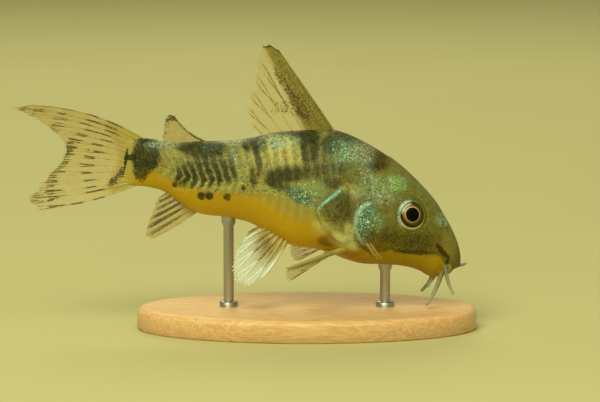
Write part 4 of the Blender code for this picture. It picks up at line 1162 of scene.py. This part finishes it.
# Each fin: roots of its first and last ray, ray tips, bows of these two rays, how many times thicker the
# first ray is, and how deep the rim is notched between rays, at the front and at the rear of the fin
FINS = {
    "dorsal_fin": (
        ((16.6, 22.9, 0), (26.0, 22.6, 0)),
        ((24.7, 34.9, 0), (25.9, 35.7, 0), (26.9, 35.6, 0), (27.8, 34.0, 0), (28.0, 31.7, 0), (28.7, 29.4, 0),
         (29.3, 27.2, 0), (28.4, 24.9, 0)),
        ((-0.1, 0.1, 0), (0.0, 0.2, 0)), 1.7, (0.0, 0.38),
    ),
    "adipose_fin": (
        ((33.0, 22.0, 0), (39.9, 21.6, 0)),
        ((38.7, 26.0, 0), (39.3, 26.2, 0), (39.8, 25.7, 0), (40.0, 24.8, 0), (40.2, 23.1, 0)),
        ((1.3, -1.1, 0), (0.0, 0.0, 0)), 1.2, (0.0, 0.0),
    ),
    "tail_fin": (
        ((42.7, 22.8, 0), (43.4, 16.8, 0)),
        ((58.0, 27.5, 0.5), (60.6, 27.1, 0.6), (58.6, 26.2, 0.5), (56.8, 25.2, 0.5), (55.2, 24.0, 0.4),
         (54.0, 22.8, 0.4), (53.4, 21.5, 0.3), (53.7, 20.6, 0.3), (54.4, 19.3, 0.3), (55.8, 18.1, 0.4),
         (56.8, 16.7, 0.4), (58.0, 15.3, 0.5), (58.9, 14.6, 0.5), (56.9, 13.1, 0.6)),
        ((-0.5, 2.4, 0), (-0.3, -1.3, 0)), 1.0, (0.02, 0.02),
    ),
    "anal_fin": (
        ((35.0, 13.5, 0), (38.9, 16.0, 0)),
        ((41.8, 9.2, 0.3), (42.8, 9.6, 0.3), (42.5, 10.9, 0.2), (42.1, 12.0, 0.2), (41.7, 13.0, 0.1),
         (41.3, 14.1, 0.1), (40.8, 14.9, 0.1)),
        ((0.0, -0.5, 0), (0.0, -0.2, 0)), 1.1, (0.02, 0.06),
    ),
    "pelvic_fin_right": (
        ((23.3, 10.0, 2.4), (25.7, 11.2, 2.1)),
        ((26.9, 4.6, 4.6), (29.0, 3.5, 5.3), (30.4, 4.2, 5.4), (30.9, 5.9, 5.0), (30.5, 7.9, 4.4),
         (29.3, 9.8, 3.7)),
        ((-0.5, -0.9, 0.5), (0.2, 0.2, 0.3)), 1.2, (0.05, 0.08),
    ),
    "pectoral_fin_right": (
        ((14.9, 8.7, 3.8), (17.5, 8.4, 3.2)),
        ((23.5, 7.1, 12.2), (23.8, 6.3, 11.5), (23.7, 5.5, 10.6), (23.2, 4.9, 9.4), (22.5, 5.1, 8.0),
         (21.8, 5.7, 6.4), (21.2, 6.3, 4.9)),
        ((0.0, 0.2, 0.6), (0.0, 0.1, 0.0)), 2.3, (0.02, 0.06),
    ),
}
# The tips of the left fins lie a little ahead of their mirrored places, and lower
LEFT_FINS_AHEAD = 0.5
LEFT_FINS_LOWER = 0.2

# Inked patches and, after them, inked strokes along the rays: ray and share of its length, half the rays and
# half the share that they cover, and strength. The tail fin has bands of strokes round its root as well.
PATCHES = {
    "dorsal_fin": (
        (1.0, 0.45, 1.3, 0.62, 0.52), (1.9, 0.34, 0.9, 0.22, 0.72), (2.1, 0.60, 0.5, 0.22, 0.66),
        (0.7, 1.00, 1.9, 0.055, 1.0), (2.4, 0.30, 0.8, 0.09, 0.60),
        (3.2, 0.40, 0.8, 0.09, 0.58), (4.1, 0.48, 0.8, 0.08, 0.50), (2.20, 0.29, 0.18, 0.07, 1.5),
    ),
    "adipose_fin": ((0.0, 0.6, 0.12, 0.5, 0.7), (1.0, 1.0, 1.9, 0.20, 0.76), (3.0, 0.95, 1.4, 0.35, 0.50)),
    "tail_fin": (
        (0.6, 0.97, 1.4, 0.04, 0.5), (7.6, 0.165, 1.3, 0.05, 0.95), (9.2, 0.205, 1.3, 0.06, 0.85),
        (10.7, 0.255, 1.2, 0.06, 0.75),
    ),
}
STROKES = {
    "dorsal_fin": (
        (2.9, 0.66, 0.35, 0.30, 0.55), (4.0, 0.70, 0.4, 0.32, 0.48), (5.0, 0.72, 0.4, 0.34, 0.46),
        (6.0, 0.66, 0.4, 0.38, 0.46), (7.0, 0.60, 0.4, 0.42, 0.40), (4.5, 0.40, 2.8, 0.6, 0.30),
    ),
    "anal_fin": (
        (0.9, 0.60, 0.5, 0.38, 0.62), (1.9, 0.58, 0.48, 0.44, 0.72), (3.0, 0.54, 0.48, 0.44, 0.72),
        (4.0, 0.52, 0.45, 0.40, 0.62), (5.0, 0.54, 0.45, 0.38, 0.62), (6.0, 0.6, 0.4, 0.34, 0.45),
    ),
    "pelvic_fin_right": (
        (1.0, 0.42, 0.4, 0.24, 0.45), (2.0, 0.38, 0.4, 0.22, 0.60), (3.0, 0.36, 0.4, 0.22, 0.60),
        (4.0, 0.30, 0.4, 0.18, 0.45),
    ),
    "pectoral_fin_right": ((3.0, 0.8, 0.7, 0.2, 0.5), (5.0, 0.75, 0.5, 0.2, 0.4)),
    "pectoral_fin_left": (),
    "tail_fin": (
        (12.8, 0.62, 0.5, 0.08, 0.8), (11.6, 0.70, 0.5, 0.08, 0.6), (12.2, 0.38, 0.8, 0.09, 0.75),
    ),
}

TAIL_ROOT = (45.0, 19.6)
# Each band's strength and half length of its strokes, then how far it lies from the root on some rays
TAIL_BANDS = (
    (0.68, 1.20, ((0, 5.6), (2, 4.9), (4, 4.4), (6, 4.4), (8, 5.4), (10, 5.7), (13, 6.4))),
    (0.76, 1.00, ((0, 7.6), (2, 7.3), (3, 6.9), (4, 7.0), (5, 7.8), (6, 8.1), (8, 8.9), (9, 10.0), (10, 10.7),
                  (13, 11.6))),
    (0.66, 0.90, ((0, 10.6), (4, 10.8), (5, 12.0), (10, 13.0), (13, 13.4))),
    (0.62, 0.85, ((0, 13.2), (13, 20.0))),
    (0.60, 0.80, ((0, 15.2), (13, 22.0))),
)

# How milky a fin is, how wide its strokes lie round a ray, how many times thicker its rays are, the radius of
# its spine's tip, and the fins that have no ray but their spine
MILKY = {
    "pelvic_fin_right": 1.0, "anal_fin": 0.12, "pectoral_fin_right": 0.10, "pectoral_fin_left": 0.15,
    "pelvic_fin_left": 0.15,
}
STROKE_WIDTHS = {"anal_fin": 0.30, "pelvic_fin_right": 0.17, "tail_fin": 0.18, "dorsal_fin": 0.18}
RAY_SCALE = {"pelvic_fin_right": 1.9, "pectoral_fin_right": 1.3, "dorsal_fin": 0.8, "tail_fin": 0.8}
SPINE_TIPS = {"pectoral_fin_right": 0.13}
RAYLESS = ("adipose_fin",)

# How far a fleshy, less clear root reaches along a fin, as a share of its length
FLESHY = {
    "tail_fin": 0.36, "dorsal_fin": 0.10, "anal_fin": 0.28, "pelvic_fin_right": 0.30, "pelvic_fin_left": 0.12,
    "pectoral_fin_right": 0.35, "pectoral_fin_left": 0.10,
}
# An olive film over the first rays: up to which ray it reaches, how far that narrows towards the rim, over
# how many rays it fades, and its strength
OLIVE_FILM = {
    "dorsal_fin": (2.9, 1.1, 0.4, 1.0), "adipose_fin": (9.0, 0.0, 0.4, 0.36),
    "anal_fin": (9.0, 0.0, 0.4, 0.34), "tail_fin": (7.0, 0.0, 7.0, 0.30),
    "pectoral_fin_right": (3.2, 2.8, 0.5, 0.62), "pectoral_fin_left": (1.0, 0.0, 0.4, 0.0),
}
STRAW = (178, 158, 62)
STRAW_RAY = (206, 190, 98)
FIN_OLIVE = (96, 88, 24)
FIN_GREEN = (128, 126, 34)
FIN_INK = (68, 57, 12)
MILK = (218, 240, 246)


def bowed(root, bend, tip, share):
    """A curve from a root to a tip, drawn towards a bend between them."""
    return root * (1 - share) ** 2 + bend * (2 * share * (1 - share)) + tip * share**2


class Fin:
    """One fin's sheet. A place on it is a ray, counted from 0, and a share of the ray's length."""

    def __init__(self, node, name, roots, tips, bows, spine, notches, side):
        self.node, self.name, self.spine, self.notches = node, name, spine, notches
        shift = (-LEFT_FINS_AHEAD, -LEFT_FINS_LOWER, 0) if side < 0 else (0, 0, 0)
        self.roots = np.array(roots) * (1, 1, side)
        self.tips = (np.array(tips) + shift) * (1, 1, side)
        self.bows = np.array(bows) * (1, 1, side)
        self.rays = len(tips)
        self.longest = np.linalg.norm(self.tips - self.roots[0], axis=1).max()

    def look(self, table, usual):
        """What a table says of this fin, or of the fin that it mirrors."""
        return table.get(self.node, table.get(self.name, usual))

    def place(self, where, share):
        """Points in back, up and out."""
        where, share = np.broadcast_arrays(np.asarray(where, float), np.asarray(share, float))
        across = (where / (self.rays - 1))[..., None]
        share = share[..., None]
        here = np.clip(np.floor(where), 0, self.rays - 2).astype(int)
        tip = self.tips[here] + (self.tips[here + 1] - self.tips[here]) * (where - here)[..., None]
        root = self.roots[0] + (self.roots[1] - self.roots[0]) * across
        bow = self.bows[0] + (self.bows[1] - self.bows[0]) * across
        bend = (root + tip) / 2 + bow * np.linalg.norm(tip - root, axis=-1, keepdims=True) / self.longest
        return bowed(root, bend, tip, share)

    def facing(self, where, share):
        """The direction across the sheet."""
        run = self.place(where, share + 0.01) - self.place(where, share - 0.01)
        beside = self.place(where + 0.05, share) - self.place(where - 0.05, share)
        normal = np.cross(run, beside)
        return normal / np.linalg.norm(normal, axis=-1, keepdims=True)

    def forks(self, ray):
        """Whether a ray forks: all do but a thick spine in front."""
        return ray > 0 or self.spine <= SPINE_FROM

    def near_ray(self, where, share):
        """1 on the rays and their branches, and falling off to 0 beside them."""
        ray = np.round(where)
        off = [np.abs(where - spread(ray, share, side, twig)) for side in (-1, 1) for twig in (-1, 1)]
        gap = np.linalg.norm(self.place(where + 0.5, share) - self.place(where - 0.5, share), axis=-1)
        return bell(np.min(off, axis=0) * gap, STROKE_WIDTHS.get(self.name, 0.12))

    def ink(self, where, share, place):
        """How much ink lies in dotted patches, and in strokes along the rays."""
        patches, inked = np.zeros(where.shape), np.zeros(where.shape)
        for table, field in ((PATCHES, patches), (STROKES, inked)):
            for ray, middle, half_rays, half_share, strength in self.look(table, ()):
                reach = np.hypot((where - ray) / half_rays, (share - middle) / half_share)
                np.maximum(field, strength * (1 - ease(0.6, 1.25, reach)), out=field)
        if self.name.startswith("tail"):
            run = np.hypot(place[..., 0] - TAIL_ROOT[0], place[..., 1] - TAIL_ROOT[1])
            twig = np.round(where * 4) / 4
            for strength, half_stroke, band in TAIL_BANDS:
                start = band[0][1]
                shifted = np.interp(twig, *np.array(band).T) + 0.32 * np.sin(twig * 9.7 + start * 5.1)
                half = half_stroke * (0.85 + 0.3 * np.sin(twig * 6.3 + start * 2.9))
                inked = np.maximum(inked, strength * (1 - ease(-0.2, 0.2, np.abs(run - shifted) - half)))
        return patches, inked * self.near_ray(where, share)

    def film(self, where, share):
        """How dense the olive film is."""
        last, narrows, fades, strength = self.look(OLIVE_FILM, (1.0, 0.0, 1.0, 0.0))
        last = last - narrows * share
        return strength * (1 - ease(last - fades, last + fades, where))

    def painted(self, where, share, place, on_ray):
        """Every value that the resin's nodes read."""
        fleshy = self.look(FLESHY, 0.08)
        patches, strokes = self.ink(where, share, place)
        return {
            "ink": patches,
            "stroke": strokes,
            "lane": where,
            "film": self.film(where, share),
            "milky": self.look(MILKY, 0.0) * ease(0.2, 0.7, share) * (1.0 if on_ray else 0.65),
            "root": 1 - ease(fleshy * 0.5, fleshy, share),
            "ray": np.full(where.shape, float(on_ray)),
            "run": share * self.longest,
        }


def spread(ray, share, side, twig):
    """Where a branch of a ray lies: a side of -1 or 1 beyond the first fork, and a twig beyond the second."""
    apart = side * BRANCHES_APART * ease(FORKS[0] - 0.05, 1.0, share)
    return ray + apart + twig * TWIGS_APART * ease(FORKS[1] - 0.05, 1.0, share)


def fin_rays(fin):
    """The routes of a fin's rays: a stem, two branches and four twigs each, or one spine."""
    routes = []

    def add(ray, low, high, side, twig, thick, twist=0.0):
        share = np.linspace(low, high, max(8, int(RAY_POINTS * (high - low))))
        where = spread(ray, share, side, twig) + twist * np.sin(share * 9) * share
        where = where.clip(0.0, fin.rays - 1.0)
        place = fin.place(where, share)
        radii = np.linspace(*thick, len(share)) * RAY_SCALE.get(fin.name, 1.0)
        painted = fin.painted(where, share, place, True)
        routes.append({"points": to_world(place) / MM, "thick": radii, **painted})

    for ray in range(1 if fin.name in RAYLESS else fin.rays):
        twist = 0.05 * math.sin(ray * 2.3 + len(fin.name))
        if not fin.forks(ray):
            add(ray, 0.0, 0.995, 0, 0, (STEM[0] * fin.spine, SPINE_TIPS.get(fin.name, STEM[1] * 0.75)))
            continue
        add(ray, 0.0, FORKS[0] + 0.02, 0, 0, STEM, twist)
        for side in (-1, 1):
            add(ray, FORKS[0] - 0.03, FORKS[1] + 0.02, side, 0, BRANCH, twist)
            for twig in (-1, 1):
                add(ray, FORKS[1] - 0.02, 1.0 - 0.02 * (twig == side), side, twig, TWIG, twist)
    return routes


def fin_web(fin):
    """The sheet between the rays: thin, closed round its rim, and notched there between the rays."""
    where = np.linspace(0, fin.rays - 1, (fin.rays - 1) * COLUMNS_PER_RAY + 1)[:, None]
    level = np.linspace(0, 1, WEB_ROWS)[None, :]
    between = np.abs(where - np.round(where)) * 2
    depth = fin.notches[0] + (fin.notches[1] - fin.notches[0]) * (where / (fin.rays - 1)) ** 2.4
    scallop = 0.012 * np.abs(np.sin(where * np.pi * 4)) * ease(0.0, 0.03, depth)
    share = level * (0.985 - depth * (0.35 + 0.65 * between**1.5) - scallop)
    where = where + 0 * share
    place = fin.place(where, share)
    half = np.linspace(*WEB_THICK, WEB_ROWS)[None, :, None] / 2
    side = fin.facing(where, share) * half
    points = np.concatenate([(place + side).reshape(-1, 3), (place - side).reshape(-1, 3)])
    painted = fin.painted(where, share, place, False)
    painted = {name: np.tile(values.ravel(), 2) for name, values in painted.items()}
    return points, sheet_faces(*where.shape), painted


def sheet_faces(columns, rows):
    """Faces of a sheet of two sides with a wall round its rim. Points run down one column after another."""
    total = columns * rows
    step = np.arange(columns - 1)[:, None] * rows + np.arange(rows - 1)
    quads = np.stack([step, step + rows, step + rows + 1, step + 1], -1).reshape(-1, 4)
    faces = quads[:, ::-1].tolist() + (quads + total).tolist()
    last = (columns - 1) * rows
    rim = list(range(rows)) + [column * rows + rows - 1 for column in range(1, columns)]
    rim += [last + row for row in range(rows - 2, -1, -1)]
    rim += [column * rows for column in range(columns - 2, 0, -1)]
    after = rim[1:] + rim[:1]
    return faces + [(a, b, b + total, a + total) for a, b in zip(rim, after)]


def fin_finish():
    """Clear straw resin, denser on the rays, with ink in fine grains and a milky bloom."""
    made, shader, spot = new_finish("clear straw fin")
    names = ("ink", "stroke", "film", "milky", "root", "ray", "run", "lane")
    ink, stroke, film, milky, root, ray, run, lane = (spot.painted(name) for name in names)
    fine, grain, cloud = spot.noise(6.0, 2.0, 0.6), spot.cells(4.5), spot.noise(1.6, 2.0)
    gritty = fine - 0.5
    joints = (run * 14.0).sine() * 0.5 + 0.5
    fibre = (lane * 19.0 + cloud * 7.0).sine() * 0.5 + 0.5
    speckle = (ink * 1.3 - grain + gritty * 0.8).ease(0.14, 0.52)
    speckle = speckle.at_least((stroke * 1.25 - grain * 0.34 + gritty * 0.6).ease(0.12, 0.80))
    olive = film * (0.45 + cloud * 0.6 + fibre * 0.35)
    paint = ray.mix(STRAW, STRAW_RAY)
    paint = olive.mix(paint, fibre.mix(FIN_OLIVE, FIN_GREEN))
    paint = (milky * (0.6 + fine)).mix(paint, MILK)
    paint = (root * 0.8).mix(paint, FIN_ROOT)
    paint = speckle.mix(paint, FIN_INK)
    solid = 0.15 + ray * 0.08 + olive * 0.70 + milky * 0.6 + root * 0.7 + (cloud - 0.5) * 0.10
    dress(
        shader,
        base_color=paint,
        roughness=0.34 + fine * 0.12,
        alpha=(solid + speckle * 0.55).between(0.05, 0.94),
        specular_ior_level=0.45,
        coat_weight=0.25,
        coat_roughness=0.12,
        normal=(joints * ray * 0.5 + fine * 0.3).bump(0.02, 0.5),
    )
    return made


resin = fin_finish()
for name, sizes in FINS.items():
    sides = ((name, 1), (name.replace("right", "left"), -1)) if name.endswith("right") else ((name, 1),)
    for node, side in sides:
        fin = Fin(node, name, *sizes, side)
        points, faces, painted = fin_web(fin)
        web = new_piece(node + "_web", to_world(points), faces, resin, painted)
        rays = round_rods(node + "_rays", fin_rays(fin), RAY_SIDES, resin)
        for piece in (web, rays):
            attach(piece, "root")
        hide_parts(*(("tail_fin_upper", "tail_fin_lower") if node == "tail_fin" else (node,)))


# The feelers are soft round rods of silicone, pale grey-green, that taper to a rounded tip. Their roots flare
# into the corners of the mouth.

# Each feeler: root, bend and tip, then how thick it is at the root and near the tip
FEELERS = {
    "barbel_right_rear": ((2.5, 5.7, 1.3), (2.8, 3.4, 2.3), (4.6, 0.75, 2.5), 0.84, 0.42),
    "barbel_right_front": ((2.1, 5.8, 1.5), (2.1, 3.9, 2.6), (1.1, 2.2, 2.9), 0.70, 0.34),
    "barbel_left_rear": ((2.6, 5.6, -1.3), (3.3, 3.6, -2.4), (5.1, 1.7, -2.7), 0.84, 0.42),
    "barbel_left_front": ((1.9, 5.9, -1.5), (0.4, 4.7, -3.0), (-0.9, 5.3, -3.5), 0.70, 0.34),
    "barbel_chin_right": ((3.6, 5.2, 0.6), (3.8, 4.0, 0.8), (4.4, 2.9, 1.0), 0.60, 0.32),
    "barbel_chin_left": ((3.6, 5.2, -0.6), (3.8, 4.0, -0.8), (4.4, 2.9, -1.0), 0.60, 0.32),
}
FEELER_GREEN = (112, 120, 86)
FEELER_PALE = (150, 160, 142)
FEELER_DARK = (84, 82, 48)
FEELER_POINTS, TIP_POINTS = 40, 7
FEELER_SIDES = 20


def soft_skin():
    """Soft, dotted skin that pales towards the feeler's tip."""
    made, shader, spot = new_finish("soft feeler skin")
    mottle, fine = spot.noise(2.2, 3.0, 0.6), spot.noise(8.0, 2.0)
    paint = (spot.painted("reach") + (mottle - 0.5) * 0.5).ramp(
        (0.0, FEELER_DARK), (0.3, FEELER_GREEN), (0.9, FEELER_PALE)
    )
    dress(
        shader,
        base_color=((0.36 - spot.cells(3.2)).ease(0.0, 0.2) * 0.5).mix(paint, FEELER_DARK),
        roughness=0.42 + (fine - 0.5) * 0.2,
        subsurface_weight=0.15,
        subsurface_scale=0.0006,
        coat_weight=0.2,
        coat_roughness=0.2,
        normal=(fine * 0.5 + mottle).bump(0.02, 0.6),
    )
    return made


feeler_skin = soft_skin()
for node, (root, bend, tip, thick, thin) in FEELERS.items():
    root, bend, tip = np.array([root, bend, tip])
    share = np.linspace(0, 1, FEELER_POINTS)
    route = bowed(root, bend, tip, share[:, None])
    radii = (thick + (thin - thick) * share**0.8) / 2 * (1 + 0.35 * (1 - ease(0.0, 0.35, share)))
    rounding = np.sin(np.linspace(0, np.pi / 2, TIP_POINTS + 1)[1:])
    onward = (tip - route[-2]) / np.linalg.norm(tip - route[-2])
    route = np.concatenate([route, tip + onward * (rounding * thin / 2 * 0.9)[:, None]])
    radii = np.concatenate([radii, thin / 2 * np.sqrt(1 - (rounding * 0.98) ** 2)])
    reach = np.concatenate([share, np.ones(TIP_POINTS)])
    routes = [{"points": to_world(route) / MM, "thick": radii, "reach": reach}]
    feeler = round_rods(node.replace("barbel", "feeler"), routes, FEELER_SIDES, feeler_skin)
    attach(feeler, "root")
    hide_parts(node)


# The table top under the model is a wide, plain and pale board with a matt finish. It isn't part of the
# object, and only its tint varies a little.

FLOOR_PALE = (191, 193, 155)
FLOOR_SHADE = (185, 187, 149)
FLOOR_HALF = 3.0
made, shader, spot = new_finish("pale table top")
cloudy = (spot * 0.02).noise(1.0, 3.0)
dress(shader, base_color=cloudy.mix(FLOOR_PALE, FLOOR_SHADE), roughness=1.0, specular_ior_level=0.0)
corners = [(x * FLOOR_HALF, y * FLOOR_HALF, 0) for x, y in ((-1, -1), (1, -1), (1, 1), (-1, 1))]
floor = new_piece("floor", corners, [(0, 1, 2, 3)], made)


# The light is soft and a little warm. It comes from four large round panels and from a pale room all round,
# which lights what the panels leave in shade.

# Each panel: name, place, size, power and tint
PANELS = (
    ("key", (-0.16, -0.34, 0.42), 0.30, 2.2, (255, 242, 186)),
    ("fill", (0.20, -0.50, 0.60), 0.50, 1.0, (255, 243, 192)),
    ("rim", (-0.05, 0.42, 0.40), 0.30, 0.9, (255, 244, 196)),
    ("bounce", (-0.05, -0.45, 0.06), 0.36, 0.45, (255, 238, 176)),
)
LIT_PLACE = Vector((0, 0, 0.015))
ROOM_TINT = (240, 230, 172)
ROOM_POWER = 0.45
for name, place, size, power, tint in PANELS:
    lamp = bpy.data.lights.new(name, "AREA")
    lamp.shape, lamp.size, lamp.energy, lamp.color = "DISK", size, power, colour(*tint)[:3]
    panel = add_object(name, lamp)
    panel.location = place
    panel.rotation_euler = (LIT_PLACE - panel.location).to_track_quat("-Z", "Y").to_euler()
world = bpy.data.worlds.new("room")
world.use_nodes = True
glow = {"Color": colour(*ROOM_TINT), "Strength": ROOM_POWER}
plug_in(world.node_tree, world.node_tree.nodes["Background"], glow)
bpy.context.scene.world = world
bpy.context.scene.view_settings.view_transform = "Standard"


# The camera looks at the fish's right side from 8 degrees above the level, through a long lens that takes in
# 81 mm across.

CAMERA_RISE = math.radians(8)
CAMERA_AWAY = 0.4
AIM = Vector((-0.000935, 0.0, 0.01739))
FRAME_WIDTH = 0.081
SENSOR = 36
camera = bpy.data.cameras.new("camera")
camera.sensor_width = SENSOR
camera.lens = SENSOR * CAMERA_AWAY / FRAME_WIDTH
camera.clip_start, camera.clip_end = 0.01, 20
viewer = add_object("camera", camera)
viewer.location = AIM + Vector((0, -math.cos(CAMERA_RISE), math.sin(CAMERA_RISE))) * CAMERA_AWAY
viewer.rotation_euler = (AIM - viewer.location).to_track_quat("-Z", "Y").to_euler()
bpy.context.scene.camera = viewer
